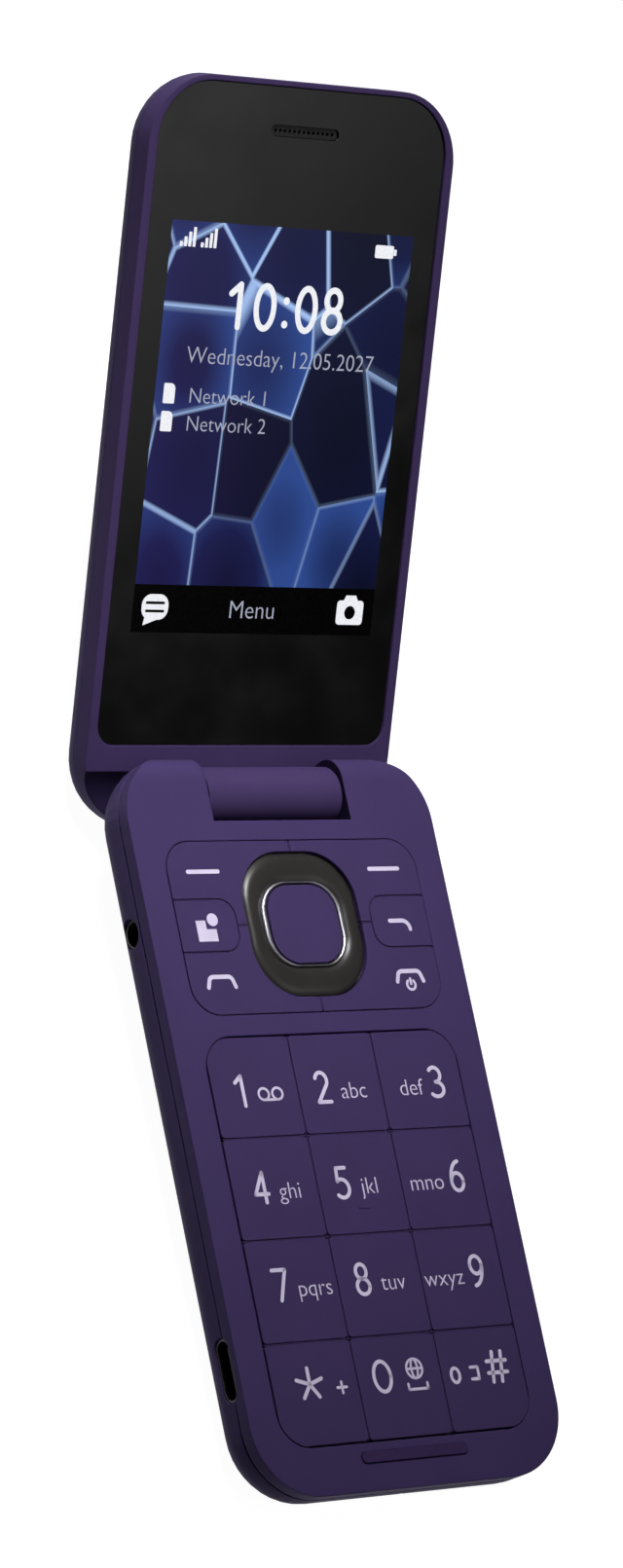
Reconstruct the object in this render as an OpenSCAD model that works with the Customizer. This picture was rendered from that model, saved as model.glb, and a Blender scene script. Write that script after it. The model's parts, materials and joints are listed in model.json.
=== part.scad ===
// Flip phone with its lid open, standing on the heel of the lid and the free end of the keypad half.
// Sizes are in millimetres. +X is the phone's right, +Y runs from the keypad to the lid, +Z is up.
// Both halves are drawn flat, with the hinge axis along X through the origin, and then put in place.

/* [Outline] */
// Width of both halves
phone_w = 55; // [54:0.5:60]
// Hinge axis to the free end of each half
tip_reach = 103; // [102.5:0.5:110]
// Hinge axis to the hinge end of each half
tail_reach = 5.4; // [5.2:0.1:5.6]
// Corner radius of the outline, seen from the front
corner_r = 10.5; // [9.5:0.5:11.5]
// Rounding of the outer edges of both halves
edge_round = 6; // [5:0.5:6.5]
// Angle between the two halves at the open stop
open_angle = 151; // [140:1:156]

/* [Keypad half shells] */
// Hinge axis up to the keypad face
face_h = 4.73; // [4.7:0.01:4.9]
// Thickness of the keypad half
base_t = 10; // [9.9:0.1:11]
// Keypad face down to the seam between front cover and housing
seam_drop = 2.43; // [2.35:0.01:2.5]
// Depth and height of the groove along that seam
seam_groove = 0.35; // [0.2:0.05:0.5]
// Thickness of the front cover's plate
cover_plate = 1.2; // [1:0.05:1.25]
// Wall of the front cover under its plate
rim_wall = 1.5; // [1.2:0.1:1.8]
// Wall of the housing
housing_wall = 2.6; // [2.4:0.1:2.7]
// Depth of the joint between housing and rear cover, below the hinge axis
rear_split = 2.6; // [2.4:0.1:2.8]
// Thickness of the rear cover's plate
rear_wall = 1; // [0.8:0.1:1.05]
// Hinge axis to the hinge end of the rear cover
rear_cover_end = 9; // [8.5:0.5:10]
// Rounding of the hinge shoulders at the keypad face
shoulder_r_front = 4; // [3.8:0.1:4.2]
// Rounding of the hinge shoulders at the back
shoulder_r_rear = 4.6; // [4.4:0.1:4.8]
// Solid length of the shoulders, from the hinge axis towards the keys
shoulder_l = 7; // [6.8:0.1:7.5]

/* [Hinge] */
// Width of the notch between the shoulders
notch_w = 24.8; // [24:0.2:26]
// Gap between the barrel and the floor of the notch
notch_gap = 0.45; // [0.4:0.05:0.6]
// Radius of the lid's barrel
barrel_r = 4.5; // [4.4:0.05:4.6]
// Gap between each end of the barrel and its shoulder
barrel_gap = 0.4; // [0.3:0.05:0.6]
// Gap between the shoulders' ends and the trough in the lid that clears them
trough_gap = 0.6; // [0.55:0.05:0.7]
// Length of the neck that joins the barrel to the lid
neck_l = 6.4; // [5:0.2:6.6]
// Radius of the hinge shaft
shaft_r = 1.5; // [1.3:0.1:1.6]
// Radius of the plain pivot pin
pin_r = 1.2; // [1:0.1:1.4]
// Length of shaft and pin held in each shoulder
pin_hold = 7; // [6:0.5:8]
// Radial clearance where shaft and pin turn
running_fit = 0.05; // [0.03:0.01:0.08]
// Radial clearance of pieces that are pushed in and stay
seat_fit = 0.02; // [0.01:0.01:0.03]
// Radius of the spring can
can_r = 2.9; // [2.7:0.1:3]
// Length of the spring can
can_l = 13; // [12:0.5:13.5]
// Length of the shaft inside the can
shaft_in_can = 7.8; // [7:0.1:8.2]

/* [Key layout] */
// Margin beside both key fields
field_margin = 5; // [4.5:0.1:6]
// Hinge axis to the upper key field
panel_start = 8.06; // [8:0.02:8.5]
// Corner radius of the upper key field
panel_r = 4.5; // [3.5:0.5:5.5]
// Strip between the two key fields
field_gap = 3.3; // [3.1:0.1:3.6]
// Number field to the free end
pad_margin = 7; // [7:0.1:8]
// Corner radius of the number field
pad_r = 5; // [4:0.5:6]
// Gap between neighbouring keys
key_gap = 0.3; // [0.25:0.05:0.5]
// Height of the keys above the keypad face
key_rise = 0.1; // [0.05:0.05:0.15]
// Thickness of the key caps
cap_t = 1; // [0.9:0.05:1.05]
// Clearance between a key's stem and the mat, which lets it travel
key_play = 0.3; // [0.28:0.02:0.34]
// Side of the square stem under each key
stem_w = 5; // [4:0.5:5.5]
// Edge of the upper key field to the ring, on the hinge side
ring_above = 1.94; // [1.8:0.02:2.1]
// Edge of the upper key field to the ring, on the other side
ring_below = 2.5; // [2.3:0.1:2.8]
// Width of the navigation ring
ring_w = 20; // [19:0.2:20.4]
// Length of the navigation ring
ring_l = 21.2; // [20.4:0.2:21.4]
// Corner radius of the navigation ring
ring_r = 7.5; // [7:0.5:9]
// Thickness of the navigation ring
ring_t = 0.8; // [0.7:0.05:0.85]
// Width of the centre key
ok_w = 12.3; // [11.5:0.1:12.6]
// Length of the centre key
ok_l = 11.7; // [11:0.1:12.4]
// Corner radius of the centre key
ok_r = 4.2; // [3.5:0.1:5]
// Width of the bright trim round the centre key
trim_w = 0.45; // [0.4:0.05:0.6]
// Thickness of the web that carries the ring
web_t = 0.23; // [0.2:0.01:0.25]
// Gap under the web
web_gap = 0.32; // [0.3:0.01:0.34]
// Gap between the ring and the shortcut and back keys
side_key_gap = 2.3; // [2:0.1:2.6]
// Length of the shortcut and back keys
side_key_l = 7.5; // [7:0.1:8]
// Corner radius of the inner end of the shortcut and back keys
side_key_r = 2.5; // [2:0.1:3]
// Length of the raised bar on key 5
tactile_l = 2; // [1.6:0.2:2.4]

/* [Keypad layers] */
// Thickness of the keypad mat
mat_t = 0.45; // [0.4:0.01:0.46]
// Keypad face down to the mat's underside
mat_drop = 2.08; // [2.06:0.01:2.1]
// Thickness of the keypad flex
flex_t = 0.25; // [0.2:0.01:0.26]
// Underside of the mat down to the underside of the keypad flex
flex_drop = 0.7; // [0.69:0.01:0.72]
// Radius of the snap domes
dome_r = 2.2; // [1.8:0.1:2.4]
// Rise of the snap domes
dome_rise = 0.25; // [0.2:0.01:0.26]
// Thickness of the main board
board_t = 0.8; // [0.7:0.05:0.85]
// Keypad flex down to the underside of the main board
board_drop = 1.65; // [1.62:0.01:1.68]
// Margin beside the main board
board_margin = 4.1; // [4:0.1:5]
// Thickness of the deck that carries the board
deck_t = 0.6; // [0.5:0.05:0.65]
// Thickness of the shield's sheet
shield_t = 0.25; // [0.2:0.05:0.3]

/* [Ports and inner pieces] */
// Hinge axis to the headset jack
jack_reach = 20.1; // [20:0.1:20.3]
// Underside of the main board down to the headset jack's axis
jack_drop = 0.6; // [0.55:0.05:0.65]
// Radius of the headset jack's bore
jack_bore_r = 1.81; // [1.76:0.01:1.82]
// Depth of the headset jack's bore
jack_bore_l = 13.2; // [12.6:0.2:13.4]
// Depth of the pointed end of the headset jack's bore
jack_tip_l = 0.7; // [0.6:0.1:0.8]
// Wall of the headset jack's nose
jack_wall = 0.35; // [0.3:0.05:0.36]
// Socket on the left wall to the free end
port_margin = 19.2; // [19:0.1:19.4]
// Height of that socket's middle above the main board
port_lift = 0.7; // [0.65:0.05:0.75]
// Width of that socket's shell
port_w = 8.94; // [8.9:0.02:9]
// Height of that socket's shell
port_t = 3.26; // [3.2:0.02:3.26]
// Depth of that socket
port_l = 7.4; // [7:0.1:7.6]
// Sheet of that socket's shell
port_sheet = 0.3; // [0.25:0.05:0.35]
// Clearance round both ports
port_fit = 0.1; // [0.05:0.05:0.12]
// Margin beside the battery
battery_margin = 10.5; // [10:0.5:12]
// Battery to the free end
battery_end = 25.8; // [25.5:0.1:28]
// Gap between the battery and the rear cover
battery_gap = 0.37; // [0.3:0.01:0.5]
// Hinge axis to the battery
battery_start = 29.2; // [29:0.1:29.4]
// Length of the volume rocker
volume_l = 18; // [14:0.5:20]
// Height of the volume rocker
volume_t = 3; // [2.6:0.1:3]
// How far the volume rocker stands out of the wall
volume_rise = 0.4; // [0.35:0.05:0.5]
// Travel of the volume rocker
volume_play = 0.3; // [0.25:0.01:0.32]
// Hinge axis to the volume rocker
volume_reach = 40; // [38:0.5:44]
// Width of the loudspeaker
speaker_w = 15; // [13:0.5:16]
// Length of the loudspeaker
speaker_l = 10; // [9:0.5:10.5]
// Height of the loudspeaker
speaker_t = 2.4; // [2.2:0.1:2.6]
// Loudspeaker to the phone's middle line
speaker_x = 12; // [11:0.5:13]
// Loudspeaker and vibration motor to the free end
speaker_margin = 14; // [13.5:0.1:14.5]
// Length of the vibration motor
motor_l = 9; // [8:0.5:10]
// SIM holder to the phone's middle line
sim_x = 7; // [6:0.5:8]

/* [Lid] */
// Gap between the two faces when the phone is closed
lid_gap = 0.48; // [0.46:0.01:0.6]
// Thickness of the lid
lid_t = 8.4; // [8.3:0.1:9]
// Depth of the joint between lid frame and lid cover
lid_split = 3; // [2.9:0.05:3.1]
// Thickness of the lid cover's plate
lid_wall = 1.2; // [1.1:0.05:1.3]
// Inset of the lid's hollow from its outline
lid_inset = 3.6; // [3.4:0.1:3.8]
// Depth of the window below the rim
window_drop = 0.3; // [0.2:0.05:0.35]
// Thickness of the display window
window_t = 1; // [0.9:0.05:1.05]
// Width of the rim beside the window
rim_side = 1.5; // [1.3:0.1:1.8]
// Width of the rim at the free end
rim_tip = 0.8; // [0.8:0.1:1.2]
// Hinge axis to the window
window_start = 6.8; // [6.6:0.1:7.2]
// Radius of the window's corners near the hinge
window_r = 3; // [2.5:0.5:4]
// Thickness of the ledge behind the window
ledge_t = 0.8; // [0.7:0.05:0.85]
// Clearance round the window and the display
glass_fit = 0.1; // [0.08:0.01:0.15]
// Margin beside the display
display_margin = 4.5; // [4.2:0.1:5]
// Window's hinge end to the display
display_low = 13.6; // [13:0.1:14.5]
// Display to the window's free end
display_high = 17.8; // [17:0.1:18.5]
// Thickness of the display panel
panel_t = 1.2; // [1.1:0.05:1.25]
// Thickness of the backlight
backlight_t = 1.3; // [1.2:0.05:1.4]
// Length of the earpiece slot
ear_l = 12.2; // [10:0.2:13]
// Width of the earpiece slot
ear_w = 1.65; // [1.4:0.05:1.8]
// Earpiece slot to the window's free end
ear_margin = 6.3; // [6:0.1:6.6]
// Margin beside the outer window
outer_margin = 9.5; // [8.5:0.5:11]
// Length of the outer window
outer_l = 44; // [42:0.5:46]
// Outer window to the middle of the camera
outer_gap = 10; // [9:0.5:11]
// Thickness of the outer window
outer_t = 0.7; // [0.6:0.05:0.75]
// Camera to the lid's free end
camera_margin = 13; // [12.5:0.5:14]
// Radius of the camera's lens
camera_r = 3.4; // [3:0.1:3.6]
// Radius of the flash lens
flash_r = 1.6; // [1.4:0.1:1.8]
// Flash lens to the camera
flash_x = 9; // [8:0.5:10]
// Side of the camera's square housing
camera_side = 8.4; // [8:0.1:9]

/* [Screws and bumper] */
// Radius of the screws' shanks
screw_r = 0.7; // [0.6:0.05:0.75]
// Radius of the screws' heads
screw_head_r = 1.3; // [1.2:0.05:1.4]
// Height of the screws' heads
screw_head_t = 0.5; // [0.45:0.05:0.55]
// Radial clearance round the screws
screw_fit = 0.05; // [0.04:0.01:0.08]
// Length of the closing bumper
bumper_l = 19; // [16:0.5:20]
// Width of the closing bumper
bumper_w = 1.6; // [1.4:0.1:1.8]
// Height of the closing bumper above the keypad face
bumper_rise = 0.3; // [0.2:0.05:0.35]
// Closing bumper to the free end
bumper_margin = 4.8; // [4.6:0.1:5]
// Margin of the screws of the keypad half, from its sides
screw_margin = 6.5; // [6:0.1:7]
// Margin of the lid's screws, from its sides
lid_screw_margin = 7; // [6.5:0.1:7.5]

/* [Hidden] */
$fn = 48;

purple = "#46386a";
dark_purple = "#302b3b";
black = "#151515";
steel = "#b9bcc2";
green = "#2c5a3a";

// Keypad half: levels above and below the hinge axis
base_back = face_h - base_t;
seam_h = face_h - seam_drop;
mat_h = face_h - mat_drop;
flex_h = mat_h - flex_drop;
board_h = flex_h - board_drop;
plate_under = face_h - cover_plate;
cap_top = face_h + key_rise;
cap_under = cap_top - cap_t;
mat_top = mat_h + mat_t;
stem_under = mat_top + key_play;
board_top = board_h + board_t;
deck_under = board_h - deck_t;
rear_inside = base_back + rear_wall;
web_h = mat_top + web_gap;
jack_h = board_h - jack_drop;
port_h = board_top + port_lift;
battery_top = deck_under - 0.1;
battery_t = battery_top - rear_inside - battery_gap;

// Keypad half: outlines and places
field_w = phone_w - 2 * field_margin;
panel_l = ring_above + ring_l + ring_below;
nav_reach = panel_start + ring_above + ring_l / 2;
pad_start = panel_start + panel_l + field_gap;
pad_l = tip_reach - pad_start - pad_margin;
side_key_w = field_w / 2 - ring_w / 2 - side_key_gap;
board_w = phone_w - 2 * board_margin;
battery_w = phone_w - 2 * battery_margin;
battery_l = tip_reach - battery_start - battery_end;
port_reach = tip_reach - port_margin;
bumper_reach = tip_reach - bumper_margin;
speaker_y = speaker_margin - tip_reach;
motor_r = (board_h - rear_inside) / 2 - 0.285;
key_pitch_x = field_w / 3;
key_pitch_y = pad_l / 4;
panel_mid = -panel_start - panel_l / 2;
pad_mid = -pad_start - pad_l / 2;
trim_in_w = ok_w + 2 * key_gap;
trim_in_l = ok_l + 2 * key_gap;
trim_in_r = ok_r + key_gap;
wall_in = phone_w / 2 - housing_wall;
strip_mid = -(panel_start + panel_l + pad_start) / 2;
opening_play = 0.15;
bumper_seat = 0.5;
volume_fit = 0.15;
mat_side = field_w / 2 - 0.5;
battery_mid = -battery_start - battery_l / 2;
deck_start = battery_start - 1.7;
deck_end = battery_start + battery_l + 1.8;
port_nose = phone_w / 2 - 0.3;
port_inner = phone_w / 2 - port_l;
jack_nose = phone_w / 2 - 1;
jack_half = jack_bore_r + jack_wall + 0.05;
jack_tip = jack_bore_l - jack_nose;
jack_end = jack_tip + jack_tip_l + 0.6;
screw_x = phone_w / 2 - screw_margin;
screw_end = tip_reach - 6.5;
screw_spots = [for (s = [-1, 1]) each [[s * screw_x, strip_mid], [s * (screw_x - 0.2), -screw_end]]];
screw_l = plate_under - deck_under - 0.3;
boss_r = 2 * screw_r;

// Lid: levels below its face, which looks along +Z while the lid is drawn flat
lid_face = -face_h - lid_gap;
lid_back = lid_face - lid_t;
lid_joint = lid_face - lid_split;
window_top = lid_face - window_drop;
window_under = window_top - window_t;
ledge_under = window_under - ledge_t;
display_top = window_under - glass_fit;
backlight_top = display_top - panel_t;
backlight_under = backlight_top - backlight_t;
lid_board_t = 0.6;
lid_board_top = backlight_under - 0.2;
lid_board_under = lid_board_top - lid_board_t;
lid_inside = lid_back + lid_wall;
window_w = phone_w - 2 * rim_side;
window_end = tip_reach - rim_tip;
display_w = phone_w - 2 * display_margin;
display_l = window_end - window_start - display_low - display_high;
display_reach = window_start + display_low + display_l / 2;
ear_reach = window_end - ear_margin;
camera_reach = tip_reach - camera_margin;
outer_w = phone_w - 2 * outer_margin;
outer_reach = camera_reach - outer_gap - outer_l / 2;
lid_screw_x = phone_w / 2 - lid_screw_margin;
window_tip_r = corner_r - rim_side;
lid_screw_spots = [for (x = [-1, 1], v = [window_start + 3, tip_reach - 7.5]) [x * lid_screw_x, v]];
lid_screw_l = window_under - lid_inside - 0.5;

// Hinge: the barrel turns between the shoulders
barrel_l = notch_w - 2 * barrel_gap;
notch_l = barrel_r + notch_gap;
trough_r = tail_reach + trough_gap;
shaft_end = -barrel_l / 2 + 0.2 + shaft_in_can;
can_start = -barrel_l / 2 + 0.2;
can_end = can_start + can_l;
pin_inner = barrel_l / 2 - 3;
flex_chamber = [can_end + 1.2, barrel_l / 2 - 4];

// Standing pose: both halves touch the table with the same edge rounding
lid_tilt = 180 - open_angle;
heel_v = -tail_reach + edge_round;
heel_w = lid_back + edge_round;
heel_y = heel_v * cos(lid_tilt) - heel_w * sin(lid_tilt);
heel_z = heel_v * sin(lid_tilt) + heel_w * cos(lid_tilt);
foot_y = -tip_reach + edge_round;
foot_z = base_back + edge_round;
stand_tilt = atan2(foot_z - heel_z, heel_y - foot_y);
axis_z = edge_round - (heel_y * sin(stand_tilt) + heel_z * cos(stand_tilt));
rise = lid_tilt + stand_tilt;
far_y = (tip_reach - edge_round) * cos(rise) - heel_w * sin(rise) + edge_round;
near_y = -tip_reach * cos(stand_tilt) - face_h * sin(stand_tilt);
axis_y = -(far_y + near_y) / 2;

// Placing: the keypad half leans by stand_tilt, and the lid leans further by lid_tilt
module stand() {
    translate([0, axis_y, axis_z])
        rotate([stand_tilt, 0, 0])
            children();
}

module open_lid() {
    stand()
        rotate([lid_tilt, 0, 0])
            children();
}

// Shared shapes
module prism(from, to) {
    translate([0, 0, from])
        linear_extrude(to - from)
            children();
}

module block(x, y, z) {
    translate([x[0], y[0], z[0]])
        cube([x[1] - x[0], y[1] - y[0], z[1] - z[0]]);
}

module rod(x, r) {
    translate([x[0], 0, 0])
        rotate([0, 90, 0])
            cylinder(h = x[1] - x[0], r = r);
}

// Rectangle with its own radius at each corner: left low, right low, right high, left high
module plate(x, y, r) {
    polygon([
        [x[0] + r[0], y[0]], [x[1] - r[1], y[0]], [x[1], y[0] + r[1]], [x[1], y[1] - r[2]],
        [x[1] - r[2], y[1]], [x[0] + r[3], y[1]], [x[0], y[1] - r[3]], [x[0], y[0] + r[0]]
    ]);
    translate([x[0] + r[0], y[0] + r[0]]) circle(r[0]);
    translate([x[1] - r[1], y[0] + r[1]]) circle(r[1]);
    translate([x[1] - r[2], y[1] - r[2]]) circle(r[2]);
    translate([x[0] + r[3], y[1] - r[3]]) circle(r[3]);
}

module even_plate(w, l, r) {
    plate([-w / 2, w / 2], [-l / 2, l / 2], [r, r, r, r]);
}

// Strip with round ends, along X
module strip(length, width) {
    square([length - width, width], center = true);
    for (x = [width - length, length - width])
        translate([x / 2, 0])
            circle(width / 2);
}

module half_outline(y, inset) {
    r = corner_r - inset;
    plate([inset - phone_w / 2, phone_w / 2 - inset], [y[0] + inset, y[1] - inset], [r, r, r, r]);
}

module base_outline(inset) {
    half_outline([-tip_reach, tail_reach], inset);
}

module lid_outline(inset) {
    half_outline([-tail_reach, tip_reach], inset);
}

// Shell form with straight walls and a rounded outer edge
module pillow(y, back, front) {
    hull()
        for (x = [corner_r - phone_w / 2, phone_w / 2 - corner_r], v = [y[0] + corner_r, y[1] - corner_r])
            translate([x, v, 0])
                puck(back, front, $fn = 40);
}

module puck(back, front) {
    rotate_extrude()
        intersection() {
            translate([0, back])
                square([corner_r, front - back]);
            union() {
                translate([0, back + edge_round])
                    square([corner_r, front - back]);
                translate([0, back])
                    square([corner_r - edge_round, front - back]);
                translate([corner_r - edge_round, back + edge_round])
                    circle(edge_round);
            }
        }
}

// Keypad half: its side view, with the rounded shoulders at the hinge end
module side_slab() {
    rotate([90, 0, 90])
        translate([0, 0, -phone_w])
            linear_extrude(2 * phone_w)
                plate(
                    [-tip_reach - 1, tail_reach], [base_back, face_h],
                    [0.2, shoulder_r_rear, shoulder_r_front, 0.2]
                );
}

module hinge_notch() {
    block([-notch_w / 2, notch_w / 2], [-notch_l, tail_reach + 1], [base_back - 1, face_h + 1]);
}

module panel_outline(grow) {
    translate([0, panel_mid])
        even_plate(field_w + 2 * grow, panel_l + 2 * grow, panel_r + grow);
}

module pad_outline(grow) {
    translate([0, pad_mid])
        even_plate(field_w + 2 * grow, pad_l + 2 * grow, pad_r + grow);
}

module ring_outline(grow) {
    translate([0, -nav_reach])
        even_plate(ring_w + 2 * grow, ring_l + 2 * grow, ring_r + grow);
}

module trim_hole(grow) {
    translate([0, -nav_reach])
        even_plate(trim_in_w + 2 * grow, trim_in_l + 2 * grow, trim_in_r + grow);
}

// Prism of the socket on the left wall, between two distances from the phone's middle
module port_prism(grow, from, to) {
    translate([0, -port_reach, port_h])
        rotate([90, 0, -90])
            prism(from, to)
                strip(port_w + 2 * grow, port_t + 2 * grow);
}

module port_space() {
    port_prism(port_fit, port_inner - 1.5, phone_w);
}

module jack_space(r) {
    translate([0, -jack_reach, jack_h])
        rod([-phone_w, 0.5 - wall_in], r);
}

module screw_holes(spots, r, from, to) {
    for (p = spots)
        translate([p[0], p[1], from])
            cylinder(h = to - from, r = r);
}

// Keypad half: shells
module front_cover() {
    color(purple) stand() difference() {
        union() {
            difference() {
                intersection() {
                    union() {
                        prism(seam_h + seam_groove, face_h) base_outline(0);
                        prism(seam_h, seam_h + seam_groove) base_outline(seam_groove);
                    }
                    side_slab();
                }
                prism(seam_h - 1, plate_under)
                    plate(
                        [rim_wall - phone_w / 2, phone_w / 2 - rim_wall], [rim_wall - tip_reach, -shoulder_l],
                        [corner_r - rim_wall, corner_r - rim_wall, 2, 2]
                    );
            }
            prism(mat_top, plate_under + 0.1) panel_outline(opening_play + 0.9);
            prism(mat_top, plate_under + 0.1) pad_outline(opening_play + 0.9);
            screw_holes(screw_spots, boss_r, board_h, plate_under + 0.1);
        }
        prism(seam_h, face_h + 1) panel_outline(opening_play);
        prism(seam_h, face_h + 1) pad_outline(opening_play);
        hinge_notch();
        port_space();
        screw_holes(screw_spots, screw_r + screw_fit, board_h - 1, plate_under + 0.2);
        translate([0, -bumper_reach])
            prism(face_h - bumper_seat, face_h + 1) strip(bumper_l, bumper_w);
    }
}

module base_cavity(inset) {
    plate(
        [inset - phone_w / 2, phone_w / 2 - inset], [inset - tip_reach, -shoulder_l],
        [corner_r - inset, corner_r - inset, 2, 2]
    );
}

module base_housing() {
    bay_x = battery_w / 2 + 0.4;
    bay_z = [-rear_split - 1, board_h];
    color(dark_purple) stand() difference() {
        union() {
            difference() {
                intersection() {
                    pillow([-tip_reach, tail_reach], base_back, face_h);
                    side_slab();
                    block([-phone_w, phone_w], [-2 * tip_reach, tip_reach], [base_back - 1, seam_h]);
                }
                block([-phone_w, phone_w], [-2 * tip_reach, -rear_cover_end], [base_back - 1, -rear_split]);
                prism(-rear_split - 1, seam_h + 1) base_cavity(housing_wall);
                hinge_notch();
            }
            block([-wall_in - 0.3, wall_in + 0.3], [-deck_end, -deck_start], [deck_under, board_h]);
            for (s = [-1, 1])
                translate([s * bay_x, 0, 0])
                    block([-0.4 + s * 0.4, 0.4 + s * 0.4], [-deck_end, -deck_start], bay_z);
            for (p = screw_spots)
                translate([p[0], p[1], deck_under])
                    cylinder(h = deck_t, r = boss_r + 2.2);
        }
        rod([-notch_w / 2 - pin_hold, 0], shaft_r + seat_fit);
        rod([0, notch_w / 2 + pin_hold], pin_r + seat_fit);
        jack_space(jack_bore_r + jack_wall + port_fit);
        port_space();
        volume_hole();
        screw_holes(screw_spots, screw_r + screw_fit, deck_under - 1, board_h + 1);
        translate([0, -tip_reach - 1, -0.3])
            rotate([-90, 0, 0])
                cylinder(h = housing_wall + 2, r = 0.5);
    }
}

module rear_cover() {
    end = rear_cover_end + 0.1;
    color(dark_purple) stand() difference() {
        intersection() {
            pillow([-tip_reach, tail_reach], base_back, face_h);
            block([-phone_w, phone_w], [-2 * tip_reach, -end], [base_back - 1, -rear_split]);
        }
        prism(rear_inside, face_h)
            plate(
                [4 - phone_w / 2, phone_w / 2 - 4], [4 - tip_reach, -end - 1.5],
                [corner_r - 4, corner_r - 4, 2, 2]
            );
        for (i = [0:4])
            translate([speaker_x + 2 * i - 4, speaker_y, base_back - 1])
                cylinder(h = rear_wall + 2, r = 0.5, $fn = 24);
    }
}

// Keypad half: inner pieces
module battery() {
    color(black) stand()
        translate([0, battery_mid, battery_top - battery_t])
            linear_extrude(battery_t)
                even_plate(battery_w, battery_l, 1);
}

module battery_contacts() {
    color("goldenrod") stand() {
        block([-5, 5], [-deck_start + 0.3, -deck_start + 2.8], [-rear_split, board_h]);
        for (x = [-3, 0, 3])
            block([x - 0.5, x + 0.5], [-battery_start + 0.05, -deck_start + 0.5], [-1.6, -0.8]);
    }
}

module board_outline(side, start, end) {
    difference() {
        plate([-side, side], [-end, -start], [5, 5, 2, 2]);
        translate([-phone_w, -port_reach - port_w / 2 - 0.5])
            square([phone_w - phone_w / 2 + port_l + 1, port_w + 1]);
        for (x = [-screw_x, screw_x])
            translate([x, strip_mid])
                circle(boss_r + 0.3);
    }
}

module main_board() {
    color(green) stand() difference() {
        prism(board_h, board_top) board_outline(board_w / 2, shoulder_l + 0.6, tip_reach - 9);
        jack_notch(0.3);
    }
}

module jack_notch(grow) {
    block(
        [-phone_w, jack_end + 0.2 + grow],
        [-jack_reach - jack_half - 0.4 - grow, -jack_reach + jack_half + 0.4 + grow], [-face_h, flex_h]
    );
}

module shield() {
    color(steel) stand() difference() {
        prism(board_top, flex_h) board_outline(mat_side - 1.5, shoulder_l + 2, tip_reach - 10);
        prism(board_top - 1, flex_h - shield_t)
            plate([-screw_x + 2.5, screw_x - 2.5], [12 - tip_reach + port_w, -shoulder_l - 18], [2, 2, 2, 2]);
        jack_notch(0.3);
    }
}

// Centres of all keys that press a dome
function number_spot(column, row) = [(column - 1) * key_pitch_x, -pad_start - (row + 0.5) * key_pitch_y];
number_spots = [for (row = [0:3], column = [0:2]) number_spot(column, row)];
edge_x = field_w / 2 - side_key_w / 2;
upper_rows = [-panel_start - 4.4, -nav_reach, -panel_start - panel_l + 4.4];
upper_spots = [for (s = [-1, 1], y = upper_rows) [s * edge_x, y]];
nav_spots = [
    [0, -nav_reach], [0, -nav_reach + 8.4], [0, -nav_reach - 8.4], [8.2, -nav_reach], [-8.2, -nav_reach]
];

// The domes under the navigation keys are smaller than the others
function dome_size(p) = p[1] > strip_mid && p[0] * p[0] < 70 ? 0.6 * dome_r : dome_r;

module keypad_flex() {
    color("darkkhaki") stand() {
        prism(flex_h, flex_h + flex_t) board_outline(mat_side, panel_start + 0.3, pad_start + pad_l - 0.5);
        for (p = concat(number_spots, upper_spots, nav_spots))
            translate([p[0], p[1], flex_h + flex_t])
                cylinder(h = dome_rise, r1 = dome_size(p), r2 = 0.9);
    }
}

module keypad_mat() {
    color("lightgrey") stand() {
        prism(mat_h, mat_top) board_outline(mat_side, panel_start, pad_start + pad_l - 0.3);
        prism(flex_h + flex_t, mat_h) difference() {
            board_outline(mat_side, panel_start, pad_start + pad_l - 0.3);
            board_outline(mat_side - 0.8, panel_start + 0.8, pad_start + pad_l - 1.1);
            translate([-field_w, -port_reach - port_w / 2 - 1.5])
                square([field_w, port_w + 3]);
            for (x = [-screw_x, screw_x])
                translate([x, strip_mid])
                    circle(boss_r + 1.4);
        }
    }
}

module usb_socket() {
    color(steel) stand() {
        difference() {
            port_prism(0, port_inner, port_nose);
            port_prism(-port_sheet, port_inner + 0.6, phone_w);
        }
        block(
            [1 - port_nose, 0.1 - port_inner - 0.6], [-port_reach - 3.35, 3.35 - port_reach],
            [port_h - 0.35, port_h + 0.35]
        );
    }
}

module headset_jack() {
    body = [-phone_w / 2 + housing_wall + 0.2, jack_end];
    color(black) stand() translate([0, -jack_reach, jack_h]) difference() {
        union() {
            rod([-jack_nose, body[0] + 1], jack_bore_r + jack_wall);
            block(body, [-jack_half - 0.3, jack_half + 0.3], [-jack_half, jack_half]);
        }
        rod([-jack_nose - 1, jack_tip], jack_bore_r);
        translate([jack_tip, 0, 0])
            rotate([0, 90, 0])
                cylinder(h = jack_tip_l, r1 = jack_bore_r, r2 = 0);
    }
}

module sim_holder() {
    sim_end = board_w / 2 - 1.4;
    y = [-deck_start + 3.3, -shoulder_l - 3];
    color(steel) stand() difference() {
        block([sim_x, sim_end], y, [board_h - 1.8, board_h]);
        block([sim_x + 1, sim_end - 1], [y[0] - 1, y[1] - 1], [board_h - 1.4, board_h - 0.4]);
    }
}

module loudspeaker() {
    x = [speaker_x - speaker_w / 2, speaker_x + speaker_w / 2];
    y = [speaker_y - speaker_l / 2, speaker_y + speaker_l / 2];
    color(black) stand() {
        block(x, y, [rear_inside, rear_inside + speaker_t]);
        translate([speaker_x, speaker_y, rear_inside + speaker_t])
            cylinder(h = board_h - rear_inside - speaker_t, r = 3);
    }
}

module vibration_motor() {
    color(steel) stand() translate([-6, speaker_y, rear_inside + motor_r]) {
        rod([-motor_l, 0], motor_r);
        rod([0, 1.2], 0.4);
        difference() {
            rod([1.2, 4], motor_r - 0.1);
            block([0, 6], [-3, 3], [0.1, 3]);
        }
        block([2 - motor_l, -2], [-1.5, 1.5], [1, board_h - rear_inside - motor_r]);
    }
}

module microphone() {
    color(steel) stand()
        block([-2, 2], [-tip_reach + 9.5, -tip_reach + 12.5], [board_h - 1.1, board_h]);
}

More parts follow.
